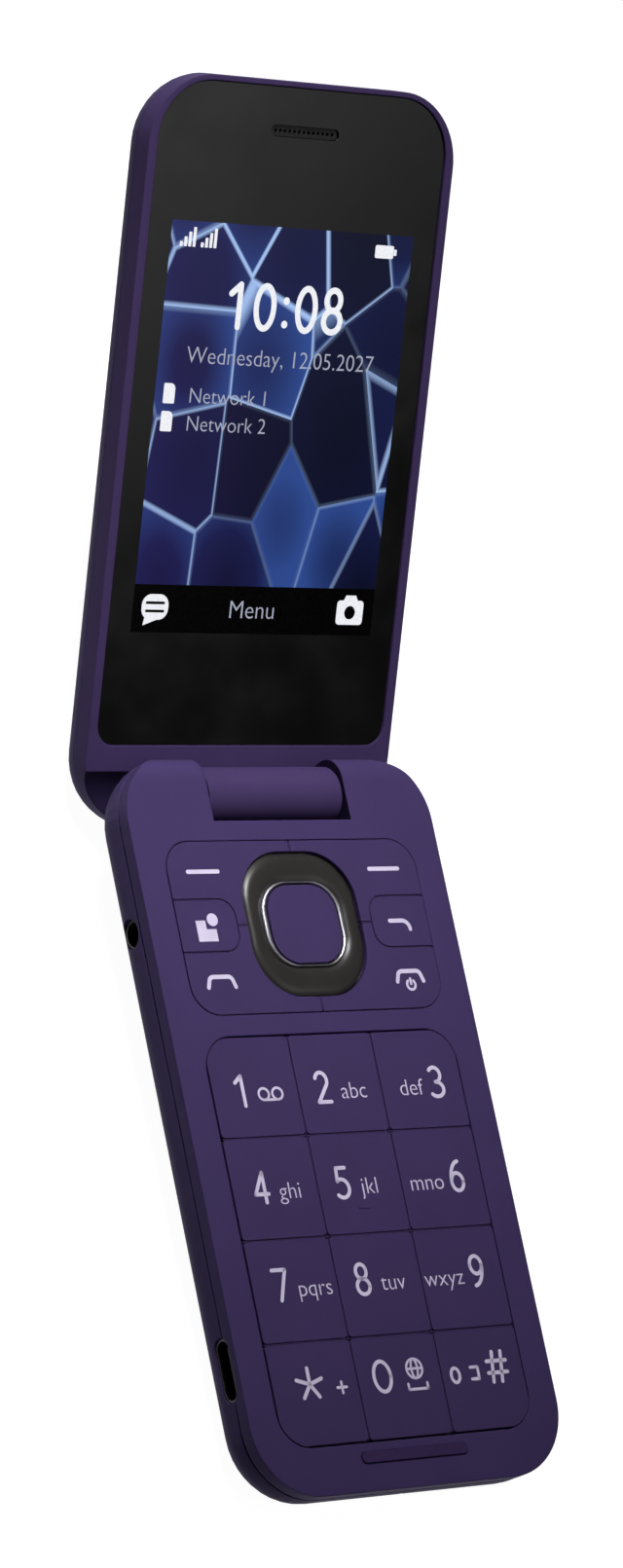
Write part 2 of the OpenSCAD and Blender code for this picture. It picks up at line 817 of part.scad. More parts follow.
module antenna() {
    y = -tip_reach + housing_wall;
    color("goldenrod") stand() difference() {
        block([12.5 - phone_w / 2, phone_w / 2 - 12.5], [y, y + 2.2], [-rear_split + 0.2, seam_h - 0.3]);
        block([-1.5, 1.5], [y - 1, y + 3], [-rear_split - 1, 0.6]);
    }
}

module screw(length) {
    cylinder(h = length, r = screw_r);
    translate([0, 0, -screw_head_t])
        cylinder(h = screw_head_t, r = screw_head_r);
}

module base_screws() {
    color(steel) stand()
        for (p = screw_spots)
            translate([p[0], p[1], deck_under])
                screw(screw_l);
}

module closing_bumper() {
    color(black) stand()
        translate([0, -bumper_reach])
            prism(face_h - bumper_seat, face_h + bumper_rise)
                strip(bumper_l - 2 * seat_fit, bumper_w - 2 * seat_fit);
}

// Hinge pieces held in the shoulders
module hinge_shaft() {
    color(steel) stand()
        rod([-notch_w / 2 - pin_hold, shaft_end], shaft_r);
}

module pivot_pin() {
    color(steel) stand()
        rod([pin_inner, notch_w / 2 + pin_hold], pin_r);
}

// Keys
module key_solid(spot) {
    prism(cap_under, cap_top) children();
    translate([spot[0], spot[1], stem_under])
        linear_extrude(cap_under - stem_under + 0.1)
            even_plate(stem_w, stem_w, 0.8);
}

module number_outline(column, row) {
    spot = number_spot(column, row);
    intersection() {
        pad_outline(0);
        translate(spot)
            even_plate(key_pitch_x - key_gap, key_pitch_y - key_gap, 0.6);
    }
}

module number_key(column, row) {
    color(purple) stand()
        key_solid(number_spot(column, row))
            number_outline(column, row);
}

module key_1() { number_key(0, 0); }
module key_2() { number_key(1, 0); }
module key_3() { number_key(2, 0); }
module key_4() { number_key(0, 1); }
module key_5() {
    spot = number_spot(1, 1);
    number_key(1, 1);
    color(purple) stand()
        translate([spot[0], spot[1] - 3.4, 0])
            prism(cap_top - 0.1, cap_top + 0.12) even_plate(tactile_l, 0.7, 0.3);
}
module key_6() { number_key(2, 1); }
module key_7() { number_key(0, 2); }
module key_8() { number_key(1, 2); }
module key_9() { number_key(2, 2); }
module key_star() { number_key(0, 3); }
module key_0() { number_key(1, 3); }
module key_hash() { number_key(2, 3); }

// Outline of the shortcut key, drawn on the left; its outer end is cut by the field's edge
module side_key_outline(grow) {
    translate([0, -nav_reach])
        plate(
            [-field_w, -field_w / 2 + side_key_w + grow], [-side_key_l / 2 - grow, side_key_l / 2 + grow],
            [0.5, side_key_r + grow, side_key_r + grow, 0.5]
        );
}

// Corner key of the upper field, drawn on the left: high is 1 for the soft key and 0 for the call key
module corner_outline(high) {
    start = high ? -nav_reach + key_gap / 2 : -panel_start - panel_l - 1;
    end = high ? -panel_start + 1 : -nav_reach - key_gap / 2;
    difference() {
        intersection() {
            panel_outline(0);
            translate([-field_w, start])
                square([field_w - key_gap / 2, end - start]);
        }
        ring_outline(key_gap);
        side_key_outline(key_gap);
    }
}

module corner_key(high) {
    color(purple) stand()
        key_solid(upper_spots[high ? 0 : 2])
            corner_outline(high);
}

module side_key() {
    color(purple) stand()
        key_solid(upper_spots[1])
            intersection() {
                panel_outline(0);
                side_key_outline(0);
            }
}

module soft_key_left() { corner_key(true); }
module soft_key_right() { mirror([1, 0, 0]) corner_key(true); }
module shortcut_key() { side_key(); }
module back_key() { mirror([1, 0, 0]) side_key(); }
module call_key() { corner_key(false); }
module end_key() { mirror([1, 0, 0]) corner_key(false); }

module nav_web() {
    color(steel) stand()
        prism(web_h, web_h + web_t) difference() {
            ring_outline(-1.5);
            trim_hole(0.3);
        }
}

module nav_ring() {
    color(black) stand()
        prism(cap_top - ring_t, cap_top) difference() {
            ring_outline(0);
            trim_hole(trim_w);
        }
}

module nav_trim() {
    color("silver") stand()
        prism(cap_top - ring_t, cap_top + 0.05) difference() {
            trim_hole(trim_w - seat_fit);
            trim_hole(0);
        }
}

module ok_key() {
    color(purple) stand()
        key_solid([0, -nav_reach])
            translate([0, -nav_reach])
                even_plate(ok_w, ok_l, ok_r);
}

// The rocker's slot in the wall, and the space behind the wall in which its flange moves
module volume_hole() {
    translate([0, -volume_reach, 0.2])
        rotate([90, 0, 90]) {
            prism(wall_in - 1, phone_w) strip(volume_l + 2 * volume_fit, volume_t + 2 * volume_fit);
            prism(board_w / 2, wall_in) volume_flange(0.3);
        }
}

module volume_flange(grow) {
    even_plate(volume_l + 2 + 2 * grow, volume_t + 0.8 + 2 * grow, 1 + grow);
}

module volume_key() {
    flange_x = board_w / 2 + volume_play + 0.3;
    color(dark_purple) stand()
        translate([0, -volume_reach, 0.2])
            rotate([90, 0, 90]) {
                prism(flange_x, phone_w / 2 + volume_rise) strip(volume_l, volume_t);
                prism(flange_x, flange_x + 0.6) volume_flange(0);
            }
}

// Lid: shells
module window_outline(grow) {
    plate(
        [-window_w / 2 - grow, window_w / 2 + grow], [window_start - grow, window_end + grow],
        [window_r + grow, window_r + grow, window_tip_r + grow, window_tip_r + grow]
    );
}

module display_outline(grow) {
    translate([0, display_reach])
        even_plate(display_w + 2 * grow, display_l + 2 * grow, 1 + grow);
}

module ear_slot(grow) {
    translate([0, ear_reach])
        strip(ear_l + 2 * grow, ear_w + 2 * grow);
}

module lid_frame() {
    color(purple) open_lid() difference() {
        union() {
            difference() {
                prism(lid_joint, lid_face) lid_outline(0);
                rod([-phone_w, phone_w], trough_r);
            }
            rod([-barrel_l / 2, barrel_l / 2], barrel_r);
            block([-barrel_l / 2, barrel_l / 2], [-neck_l / 2, neck_l / 2], [lid_joint, 0]);
        }
        prism(window_under, lid_face + 1) window_outline(0);
        prism(lid_joint - 1, ledge_under) lid_hollow(window_start + 1, 2);
        prism(lid_joint - 1, lid_face) display_outline(glass_fit);
        prism(lid_joint - 1, lid_face) ear_slot(-0.2);
        screw_holes(lid_screw_spots, screw_r + screw_fit, lid_joint - 1, lid_face);
        screw_holes(lid_screw_spots, screw_head_r + screw_fit, window_under - screw_head_t, lid_face);
        rod([-barrel_l, can_end + 0.2], can_r + seat_fit);
        rod(flex_chamber, can_r);
        rod([flex_chamber[0], barrel_l], pin_r + running_fit);
        block([flex_chamber[0] + 0.6, flex_chamber[1] - 0.6], [-0.5, 0.5], [lid_joint - 1, -1]);
    }
}

module lid_hollow(start, heel_r) {
    r = corner_r - lid_inset;
    plate(
        [lid_inset - phone_w / 2, phone_w / 2 - lid_inset], [start, tip_reach - lid_inset],
        [heel_r, heel_r, r, r]
    );
}

module outer_outline(grow) {
    translate([0, outer_reach])
        even_plate(outer_w + 2 * grow, outer_l + 2 * grow, 5 + grow);
}

module outer_screen_outline(grow) {
    translate([0, outer_reach])
        even_plate(outer_w - 4.4 + 2 * grow, outer_l - 6.4 + 2 * grow, 1.8 + grow);
}

module lid_cover() {
    color(dark_purple) open_lid() difference() {
        union() {
            difference() {
                intersection() {
                    pillow([-tail_reach, tip_reach], lid_back, lid_face);
                    block([-phone_w, phone_w], [-tip_reach, 2 * tip_reach], [lid_back - 1, lid_joint]);
                }
                prism(lid_inside, lid_joint + 1) lid_hollow(-1, edge_round);
            }
            screw_holes(lid_screw_spots, boss_r + 0.3, lid_inside - 0.1, lid_joint);
        }
        screw_holes(lid_screw_spots, screw_r + screw_fit, lid_inside + 0.2, lid_joint + 1);
        prism(lid_back - 1, lid_back + outer_t + 0.05)
            outer_outline(glass_fit);
        prism(lid_back - 1, lid_inside + 1)
            outer_screen_outline(0.2);
        translate([0, camera_reach, lid_back - 1])
            cylinder(h = lid_wall + 2, r = camera_r + glass_fit);
        translate([flash_x, camera_reach, lid_back - 1])
            cylinder(h = lid_wall + 2, r = flash_r + glass_fit);
    }
}

// Lid: display and inner pieces
module display_window() {
    color(black) open_lid() difference() {
        prism(window_under, window_top) window_outline(-glass_fit);
        prism(window_under - 1, window_top + 1) ear_slot(0);
    }
}

module display_panel() {
    color("slateblue") open_lid()
        prism(backlight_top, display_top) display_outline(0);
}

module backlight() {
    color("white") open_lid()
        prism(backlight_under, backlight_top) display_outline(-0.3);
}

module earpiece() {
    color(black) open_lid()
        translate([0, ear_reach - 1])
            prism(ledge_under - 2, ledge_under) even_plate(ear_l, 5.6, 2);
}

module earpiece_mesh() {
    color(black) open_lid() difference() {
        prism(window_under, window_top - 0.35) ear_slot(-0.05);
        for (i = [-6:6])
            translate([i * 0.85, ear_reach, window_under - 1])
                cylinder(h = 2, r = 0.25, $fn = 16);
    }
}

module lid_board() {
    color(green) open_lid()
        prism(lid_board_under, lid_board_top)
            plate(
                [5 - display_w / 2, display_w / 2 - 5], [window_start + 1.5, camera_reach + 4],
                [2, 2, 2, 2]
            );
}

module outer_window() {
    color(black) open_lid()
        prism(lid_back, lid_back + outer_t) outer_outline(0);
}

module outer_display() {
    color("slateblue") open_lid()
        prism(lid_back + outer_t + 0.05, lid_board_under) outer_screen_outline(0);
}

module camera_module() {
    color(black) open_lid() translate([0, camera_reach, 0]) {
        prism(lid_inside, lid_board_under) even_plate(camera_side, camera_side, 0.6);
        prism(lid_back + 0.7, lid_inside + 0.1) circle(camera_r - 0.4);
    }
}

module camera_lens() {
    color(black) open_lid()
        translate([0, camera_reach, 0])
            prism(lid_back + 0.1, lid_back + 0.7) circle(camera_r);
}

module flash_lens() {
    color("white") open_lid()
        translate([flash_x, camera_reach, 0]) {
            prism(lid_back + 0.1, lid_inside + 0.1) circle(flash_r);
            prism(lid_inside, lid_board_under) circle(flash_r + 0.4);
        }
}

module lid_screws() {
    color(steel) open_lid()
        for (p = lid_screw_spots)
            translate([p[0], p[1], window_under - screw_head_t])
                mirror([0, 0, 1])
                    screw(lid_screw_l - screw_head_t);
}

// Hinge pieces that turn with the lid
module hinge_can() {
    color(steel) open_lid() difference() {
        rod([can_start, can_end], can_r);
        rod([can_start - 1, shaft_end + 0.2], shaft_r + running_fit);
        rod([shaft_end + 0.2, can_end - 0.6], can_r - 0.5);
    }
}

// Stack of disc springs, drawn as one folded sheet
module hinge_spring() {
    start = shaft_end + 0.3;
    step = (can_end - 0.9 - start) / 6;
    inner = [for (i = [0:6]) [can_r - (i % 2 ? 1.3 : 2.2), i * step]];
    outer = [for (i = [6:-1:0]) [can_r - (i % 2 ? 0.7 : 1.6), i * step + 0.2]];
    color(steel) open_lid()
        translate([start, 0, 0])
            rotate([0, 90, 0])
                rotate_extrude()
                    polygon(concat(inner, outer));
}

module hinge_flex() {
    x = [flex_chamber[0] + 0.8, flex_chamber[1] - 0.8];
    color("darkkhaki") open_lid() {
        translate([x[0], 0, 0])
            rotate([0, 90, 0])
                rotate_extrude(angle = 270)
                    translate([2, 0])
                        square([0.2, x[1] - x[0]]);
        block(x, [-0.1, 0.1], [lid_joint + 0.1, -2.1]);
    }
}

front_cover();
base_housing();
rear_cover();
battery();
battery_contacts();
main_board();
shield();
keypad_flex();
keypad_mat();
usb_socket();
headset_jack();
sim_holder();
loudspeaker();
vibration_motor();
microphone();
antenna();
base_screws();
closing_bumper();
hinge_shaft();
pivot_pin();
key_1();
key_2();
key_3();
key_4();
key_5();
key_6();
key_7();
key_8();
key_9();
key_star();
key_0();
key_hash();
soft_key_left();
soft_key_right();
shortcut_key();
back_key();
call_key();
end_key();
nav_web();
nav_ring();
nav_trim();
ok_key();
volume_key();
lid_frame();
lid_cover();
display_window();
display_panel();
backlight();
earpiece();
earpiece_mesh();
lid_board();
outer_window();
outer_display();
camera_module();
camera_lens();
flash_lens();
lid_screws();
hinge_can();
hinge_spring();
hinge_flex();
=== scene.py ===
"""Flip phone: finishes, key legends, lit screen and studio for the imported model.

Both halves are drawn flat about the hinge axis, in millimetres, as the part's source draws them:
x along the hinge, y away from it and z up from it. place() puts them in the shared frame.
"""
import json
import math

import bpy
import numpy as np
from mathutils import Matrix, Vector


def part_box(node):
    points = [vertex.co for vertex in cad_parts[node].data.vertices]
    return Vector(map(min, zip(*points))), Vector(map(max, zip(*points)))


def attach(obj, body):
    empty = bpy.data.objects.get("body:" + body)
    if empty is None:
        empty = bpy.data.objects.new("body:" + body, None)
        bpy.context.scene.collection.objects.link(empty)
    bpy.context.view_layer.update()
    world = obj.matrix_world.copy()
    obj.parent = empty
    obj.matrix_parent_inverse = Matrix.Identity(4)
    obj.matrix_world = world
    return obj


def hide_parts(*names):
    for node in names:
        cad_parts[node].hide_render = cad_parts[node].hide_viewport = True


bl_info = {
    "name": "Flip phone",
    "version": (1, 0, 0),
    "blender": (4, 5, 0),
    "location": "3D View > Sidebar > Phone",
    "description": "Finishes, key legends, lit screen and studio of a folding keypad phone",
    "category": "Object",
}

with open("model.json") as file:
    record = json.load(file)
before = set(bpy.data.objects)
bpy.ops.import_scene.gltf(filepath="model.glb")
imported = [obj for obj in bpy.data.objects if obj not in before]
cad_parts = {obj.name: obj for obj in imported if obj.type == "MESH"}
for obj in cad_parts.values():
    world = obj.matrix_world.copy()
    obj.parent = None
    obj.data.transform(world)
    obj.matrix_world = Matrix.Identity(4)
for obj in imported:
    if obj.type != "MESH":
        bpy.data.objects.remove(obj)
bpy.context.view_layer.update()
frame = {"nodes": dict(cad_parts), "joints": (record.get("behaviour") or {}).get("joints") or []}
NODES = frame["nodes"]
JOINTS = {joint["name"]: joint for joint in frame["joints"]}
MM = 0.001

# The base half leans as its keys' travel does; the open lid leans further by what its opening lacks of 180
HINGE = JOINTS["lid_hinge"]
PRESS = JOINTS["ok_key_press"]["axis"]
LEAN = {"base": math.atan2(PRESS[1], -PRESS[2])}
LEAN["lid"] = LEAN["base"] + math.radians(180 - HINGE["range_deg"][1])

# Heights above the hinge axis, in millimetres
KEY_TOP = 4.83
RING_LOW = 4.03
TRIM_TOP = 4.88
WINDOW_TOP = -5.51

# The hinge, in millimetres: radii of the lid's barrel, of its trough and of the far edge of the notch, half
# the widths of the notch and of the lid, and a margin for the limits of the painted shade
BARREL_R = 4.5
TROUGH_R = 6.0
NOTCH_R = 6.75
NOTCH_HALF = 12.4
LID_HALF = 27.5
SHADE_MARGIN = 0.05

# Layout of the keypad, in millimetres: pitch of the number keys, upper edge and half width of their pad, and
# how far the web stays inside it
PITCH_X, PITCH_Y = 15, 14.75
PAD_TOP = -37
PAD_HALF = 1.5 * PITCH_X
WEB_INSET = 0.3

# Centre lines of the keypad's legends and pens of the small signs, in millimetres
NAV_CENTRE = np.array([0, -20.6])
COLUMN_X = (-17.4, -3.0, 17.8)
FIRST_ROW_Y = -44.9
ROW_STEP = 14.05
FINE_PEN = 0.36
SIGN_PEN = 0.4

# Reach of the lit screen from the hinge axis, in millimetres: foot of the bar, foot and top of the picture
BAR_FOOT = 23.2
PICTURE_FOOT = 30.15
PICTURE_TOP = 82.2

# Soft-touch paint: its roughness, the size of its clouds, its shine and the rounding of its edges
SOFT_TOUCH = {"rough": 0.62, "cloud": 14.0, "shine": 0.08, "edge": 0.3}

NUMBER_KEYS = ["key_%s" % sign for sign in (*range(1, 10), "star", 0, "hash")]
UPPER_KEYS = ["soft_key_left", "soft_key_right", "shortcut_key", "back_key", "call_key", "end_key"]


def linear(code):
    """A colour written as an sRGB hex value, in linear light."""
    c = np.array([int(code[i:i + 2], 16) for i in (1, 3, 5)]) / 255
    return tuple(np.where(c <= 0.04045, c / 12.92, ((c + 0.055) / 1.055) ** 2.4).tolist())


def colour_setting(name, code, description):
    """A colour that a user may change, with its default written as sRGB hex."""
    return bpy.props.FloatVectorProperty(name=name, description=description, default=linear(code),
                                         subtype="COLOR", size=3, min=0, max=1)


def length_setting(name, millimetres, description):
    """A length that a user may change, with its default written in millimetres."""
    return bpy.props.FloatProperty(name=name, description=description, default=millimetres * MM,
                                   unit="LENGTH", precision=5, min=0)


class PhoneSizes(bpy.types.PropertyGroup):
    """Sizes of the dressing that may be changed without a new part."""
    key_edge: length_setting("Key edge", 0.07, "Rounding of the key caps' edges")
    small_edge: length_setting("Small edge", 0.05, "Rounding of the other pieces' edges")
    digit_height: length_setting("Digit height", 4.9, "Height of the digits on the number keys")
    digit_pen: length_setting("Digit pen", 0.56, "Width of the digits' strokes")
    letter_height: length_setting("Letter height", 2.3, "Height of the tall letters on the number keys")
    icon_pen: length_setting("Icon pen", 0.62, "Width of the strokes of the key icons")
    ink_height: length_setting("Ink height", 0.02, "Thickness of the printed legends")
    groove_depth: length_setting("Groove depth", 0.16, "Depth of the web between the keys below their tops")
    web_width: length_setting("Web width", 0.2, "Width of the web in the gaps between the keys")
    screen_width: length_setting("Screen width", 43.6, "Width of the lit part of the screen")


class PhoneColours(bpy.types.PropertyGroup):
    """Colours of the finishes."""
    face: colour_setting("Face", "#423560", "Painted front cover")
    lid: colour_setting("Lid", "#42345d", "Painted lid frame")
    # The trough colour is painted shade: it darkens the walls of the hinge's notch and the lid's trough,
    # where shade falls
    trough: colour_setting("Trough", "#1f1732", "Bare polymer round the hinge")
    keys: colour_setting("Keys", "#41345e", "Key caps")
    shell: colour_setting("Shell", "#453961", "Housing, rear cover and lid cover")
    ring: colour_setting("Ring", "#2a2726", "Navigation ring")
    ink: colour_setting("Ink", "#d9d0ea", "Printed legends")
    window: colour_setting("Window", "#020203", "Display window")
    floor: colour_setting("Floor", "#909092", "Studio floor")


def sizes():
    """The scene's sizes."""
    return bpy.context.scene.phone_sizes


def colours():
    """The scene's colours."""
    return bpy.context.scene.phone_colours


# Mesh making

def place(points, half):
    """Points of one half, turned about X by the half's lean and moved to the hinge axis, in metres."""
    x, y, z = np.moveaxis(np.asarray(points, float), -1, 0) * MM
    c, s = math.cos(LEAN[half]), math.sin(LEAN[half])
    axis = HINGE["pos_m"]
    return np.stack([x + axis[0], y * c - z * s + axis[1], y * s + z * c + axis[2]], -1)


def make_piece(name, shape, half, body, finish):
    """A mesh object from points and faces of one half, riding on a body. Edges over 40 degrees stay sharp."""
    points, faces = shape
    mesh = bpy.data.meshes.new(name)
    mesh.from_pydata(place(points, half).tolist(), [], faces)
    mesh.shade_smooth()
    mesh.set_sharp_from_angle(angle=math.radians(40))
    mesh.materials.append(finish)
    piece = bpy.data.objects.new(name, mesh)
    bpy.context.scene.collection.objects.link(piece)
    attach(piece, body)
    return piece


def join(shapes):
    """Several shapes as one: their points in a row, with the faces' numbers moved on."""
    starts = np.cumsum([0] + [len(points) for points, _ in shapes])
    moved = [[int(v + start) for v in face] for (_, faces), start in zip(shapes, starts) for face in faces]
    return np.concatenate([points for points, _ in shapes]), moved


def rounded_loop(centre, size, radii, steps=9):
    """Points round a rectangle, anticlockwise from its left low corner: a quarter circle at each corner, each
    with its own radius, joined by straight sides."""
    radii = np.broadcast_to(np.asarray(radii, float), 4)
    signs = np.array([[-1, -1], [1, -1], [1, 1], [-1, 1]])
    middle = np.asarray(centre) + signs * (np.asarray(size) / 2 - radii[:, None])
    angle = np.radians([180, 270, 0, 90])[:, None] + np.linspace(0, np.pi / 2, steps)
    arc = np.stack([np.cos(angle), np.sin(angle)], -1)
    return (middle[:, None] + radii[:, None, None] * arc).reshape(-1, 2)


def arc_path(centre, radii, start, end, steps=20):
    """Points of an arc of an ellipse between two angles in degrees."""
    angle = np.radians(np.linspace(start, end, steps))
    return np.asarray(centre) + np.stack([np.cos(angle), np.sin(angle)], -1) * np.asarray(radii)


def circle_loop(centre, radius):
    """Points at even angles round a circle."""
    return arc_path(centre, (radius, radius), 0, 360, 37)[:-1]


def stroke_loop(path, width, steps=7):
    """Outline of a pen stroke: the path moved half a width to its right, and back along its left, with a half
    circle round each end."""
    path = np.asarray(path, float)
    way = np.gradient(path, axis=0)
    way /= np.linalg.norm(way, axis=1)[:, None]
    side = np.stack([way[:, 1], -way[:, 0]], -1) * width / 2
    turn = np.linspace(0, np.pi, steps)[1:-1, None]
    far = path[-1] + np.cos(turn) * side[-1] + np.sin(turn) * way[-1] * width / 2
    near = path[0] - np.cos(turn) * side[0] - np.sin(turn) * way[0] * width / 2
    return np.concatenate([path + side, far, (path - side)[::-1], near])


def line_loops(lines, pen):
    """Outlines of straight pen strokes, each given by the coordinates of its two ends."""
    return [stroke_loop(np.reshape(line, (2, 2)), pen) for line in lines]


def oval_loop(centre, radii, pen, steps=20):
    """Outline of a pen stroke round an ellipse: it ends just short of its start, so that its ends meet."""
    return stroke_loop(arc_path(centre, radii, 0, 352, steps), pen)


def grid(x, y, steps):
    """Flat points of an even grid between two limits each way, and quads between neighbouring points."""
    flat = np.stack(np.meshgrid(np.linspace(*x, steps), np.linspace(*y, steps), indexing="ij"), -1)
    corner = (np.arange(steps - 1)[:, None] * steps + np.arange(steps - 1)).reshape(-1)
    return flat.reshape(-1, 2), np.stack([corner, corner + steps, corner + steps + 1, corner + 1], -1)


def at_heights(flat, heights):
    """Flat points copied to several heights, one copy after the other."""
    return np.concatenate([np.column_stack([flat, np.full(len(flat), z)]) for z in heights])


def flat_solid(loop, low, high):
    """A flat solid: the outline at two heights, joined by a wall and closed by a face on each end."""
    count = len(loop)
    around = np.arange(count)
    after = np.roll(around, -1)
    wall = np.stack([around, after, after + count, around + count], -1).tolist()
    return at_heights(loop, (low, high)), wall + [around[::-1].tolist(), (around + count).tolist()]


def loft(outer, inner, section):
    """A ring carried between two loops: a section point (t, z) lies the share t of the way from the outer
    loop to the inner one, at height z. The section closes on itself, and quads join neighbouring rings."""
    t, z = np.asarray(section, float).T
    flat = outer[None] * (1 - t)[:, None, None] + inner[None] * t[:, None, None]
    height = np.broadcast_to(z[:, None, None], flat.shape[:2] + (1,))
    rings, count = flat.shape[:2]
    near = np.arange(count)[None]
    far = np.roll(near, -1)
    row = np.arange(rings)[:, None] * count
    following = np.roll(row, -1, axis=0)
    quads = np.stack([row + near, row + far, following + far, following + near], -1)
    return np.concatenate([flat, height], -1).reshape(-1, 3), quads.reshape(-1, 4).tolist()


# Signs and letters

def digit_strokes(digit):
    """Pen strokes of one digit in a box one wide and one high: straight stretches and arcs of ellipses."""
    if digit == "9":
        return [1 - path for path in digit_strokes("6")]
    slant = np.concatenate([arc_path((0.47, 0.72), (0.45, 0.28), 160, -25), [[0.03, 0]]])
    bowl = np.concatenate([[[0.14, 0.55]], arc_path((0.42, 0.31), (0.54, 0.31), 115, -135)])
    strokes = {
        "0": [arc_path((0.5, 0.5), (0.5, 0.5), 0, 360, 40)],
        "1": [[[0.12, 0.78], [0.62, 1]], [[0.62, 1], [0.62, 0]]],
        "2": [slant, [[0.03, 0], [1, 0]]],
        "3": [arc_path((0.42, 0.75), (0.46, 0.25), 140, -90), arc_path((0.42, 0.25), (0.55, 0.25), 90, -140)],
        "4": [[[0.74, 0], [0.74, 1]], [[0.74, 1], [0, 0.28]], [[0, 0.28], [1, 0.28]]],
        "5": [[[0.88, 1], [0.2, 1]], [[0.2, 1], [0.14, 0.55]], bowl],
        "6": [arc_path((0.5, 0.3), (0.46, 0.3), 0, 360, 30), arc_path((0.86, 0.3), (0.82, 0.7), 180, 97)],
        "7": [[[0, 1], [1, 1]], [[1, 1], [0.36, 0]]],
        "8": [arc_path((0.5, 0.755), (0.4, 0.245), 0, 360, 30),
              arc_path((0.5, 0.26), (0.48, 0.26), 0, 360, 30)],
    }
    return [np.asarray(path, float) for path in strokes[digit]]


def digit_loops(digit, centre, height, pen, width_share=0.58):
    """Outlines of a digit's strokes about a centre, as high as stated over the pen's edges."""
    box = np.array([height * width_share - pen, height - pen])
    return [stroke_loop(np.asarray(centre) + (path - 0.5) * box, pen) for path in digit_strokes(digit)]


def letter_mesh(holder):
    """Flat points and faces of a text object."""
    mesh = bpy.data.meshes.new_from_object(holder)
    points = np.zeros(len(mesh.vertices) * 3)
    mesh.vertices.foreach_get("co", points)
    faces = [list(face.vertices) for face in mesh.polygons]
    bpy.data.meshes.remove(mesh)
    return points.reshape(-1, 3)[:, :2], faces


def lettering(text, height, low, x, share):
    """Flat filled letters of the built-in font, a little thinned: scaled so that a tall letter has the given
    height, standing on the line low. The point the given share of the way along them is set at x."""
    curve = bpy.data.curves.new("letters", "FONT")
    curve.resolution_u = 5
    curve.offset = -0.012
    holder = bpy.data.objects.new("letters", curve)
    curve.body = "d"
    tall = letter_mesh(holder)[0][:, 1]
    curve.body = text
    flat, faces = letter_mesh(holder)
    bpy.data.objects.remove(holder)
    bpy.data.curves.remove(curve)
    flat = (flat - [0, tall.min()]) * height / np.ptp(tall)
    first, last = flat[:, 0].min(), flat[:, 0].max()
    return flat + [x - first * (1 - share) - last * share, low], faces


def raised(letters, low, high):
    """Flat letters given a thickness: the faces at the top, the same faces turned round at the bottom, and a
    wall along every edge that belongs to one face only."""
    flat, faces = letters
    count = len(flat)
    pairs = np.concatenate([np.stack([face, np.roll(face, -1)], -1) for face in faces])
    _, first, uses = np.unique(np.sort(pairs, axis=1), axis=0, return_index=True, return_counts=True)
    rim = pairs[first[uses == 1]]
    wall = np.stack([rim[:, 0], rim[:, 1], rim[:, 1] + count, rim[:, 0] + count], -1).tolist()
    top = [[v + count for v in face] for face in faces]
    return at_heights(flat, (low, high)), wall + top + [face[::-1] for face in faces]


# Finishes

def connect(tree, node, sockets):
    """Gives a node's inputs their values, or links them to outputs of other nodes."""
    for key, value in sockets.items():
        if isinstance(value, bpy.types.NodeSocket):
            tree.links.new(value, node.inputs[key])
        else:
            node.inputs[key].default_value = value


def add_node(tree, kind, sockets=None, **settings):
    """Adds one node: settings are its own, sockets are values for its inputs or outputs of other nodes."""
    node = tree.nodes.new("ShaderNode" + kind)
    for key, value in settings.items():
        setattr(node, key, value)
    connect(tree, node, sockets or {})
    return node


def new_finish(name):
    """An empty finish: its material, node tree and shader."""
    finish = bpy.data.materials.new(name)
    finish.use_nodes = True
    return finish, finish.node_tree, finish.node_tree.nodes["Principled BSDF"]


def moulded(name, colour, rough, cloud, grain=0.5, spread=0.06, bump=0.008, shine=0.5, edge=0.0, ior=1.5):
    """A moulded or painted surface: the colour in faint clouds, and a fine grain that breaks up the gloss,
    drawn coarser than the real one so that it shows. The shine is the strength of its reflections. Where edge
    is given, light runs round sharp edges as on a round of that radius. Lengths are in millimetres."""
    finish, tree, shader = new_finish(name)
    where = add_node(tree, "TexCoord").outputs["Object"]
    clouds = add_node(tree, "TexNoise", {"Vector": where, "Scale": 1 / (cloud * MM), "Detail": 3.0})
    grains = add_node(tree, "TexNoise", {"Vector": where, "Scale": 1 / (grain * MM), "Detail": 2.0})
    ramp = add_node(tree, "ValToRGB", {"Fac": clouds.outputs[0]})
    for element, spot, share in zip(ramp.color_ramp.elements, (0.25, 0.75), (1 - spread, 1 + spread)):
        element.position = spot
        element.color = [min(c * share, 1) for c in colour] + [1]
    gloss = add_node(tree, "MapRange", {"Value": grains.outputs[0], "From Min": 0.3, "From Max": 0.7,
                                        "To Min": rough - 0.05, "To Max": rough + 0.05})
    relief = add_node(tree, "Bump", {"Height": grains.outputs[0], "Strength": 0.3, "Distance": bump * MM})
    if edge:
        rounding = add_node(tree, "Bevel", {"Radius": edge * MM}, samples=6)
        connect(tree, relief, {"Normal": rounding.outputs["Normal"]})
    connect(tree, shader, {"Base Color": ramp.outputs["Color"], "Roughness": gloss.outputs["Result"],
                           "Normal": relief.outputs["Normal"], "Specular IOR Level": shine, "IOR": ior})
    return finish


def metal(name, colour, rough, scratch=0.35, length=30.0):
    """A plated or drawn metal: its colour, with faint lines along X where it was polished or drawn."""
    finish, tree, shader = new_finish(name)
    where = add_node(tree, "TexCoord").outputs["Object"]
    along = add_node(tree, "Mapping", {"Vector": where, "Scale": (scratch / length, 1, 1)})
    lines = add_node(tree, "TexNoise", {"Vector": along.outputs[0], "Scale": 1 / (scratch * MM),
                                        "Detail": 2.0})
    gloss = add_node(tree, "MapRange", {"Value": lines.outputs[0], "From Min": 0.3, "From Max": 0.7,
                                        "To Min": rough * 0.75, "To Max": rough * 1.3})
    connect(tree, shader, {"Base Color": (*colour, 1), "Metallic": 1, "Roughness": gloss.outputs["Result"]})
    return finish


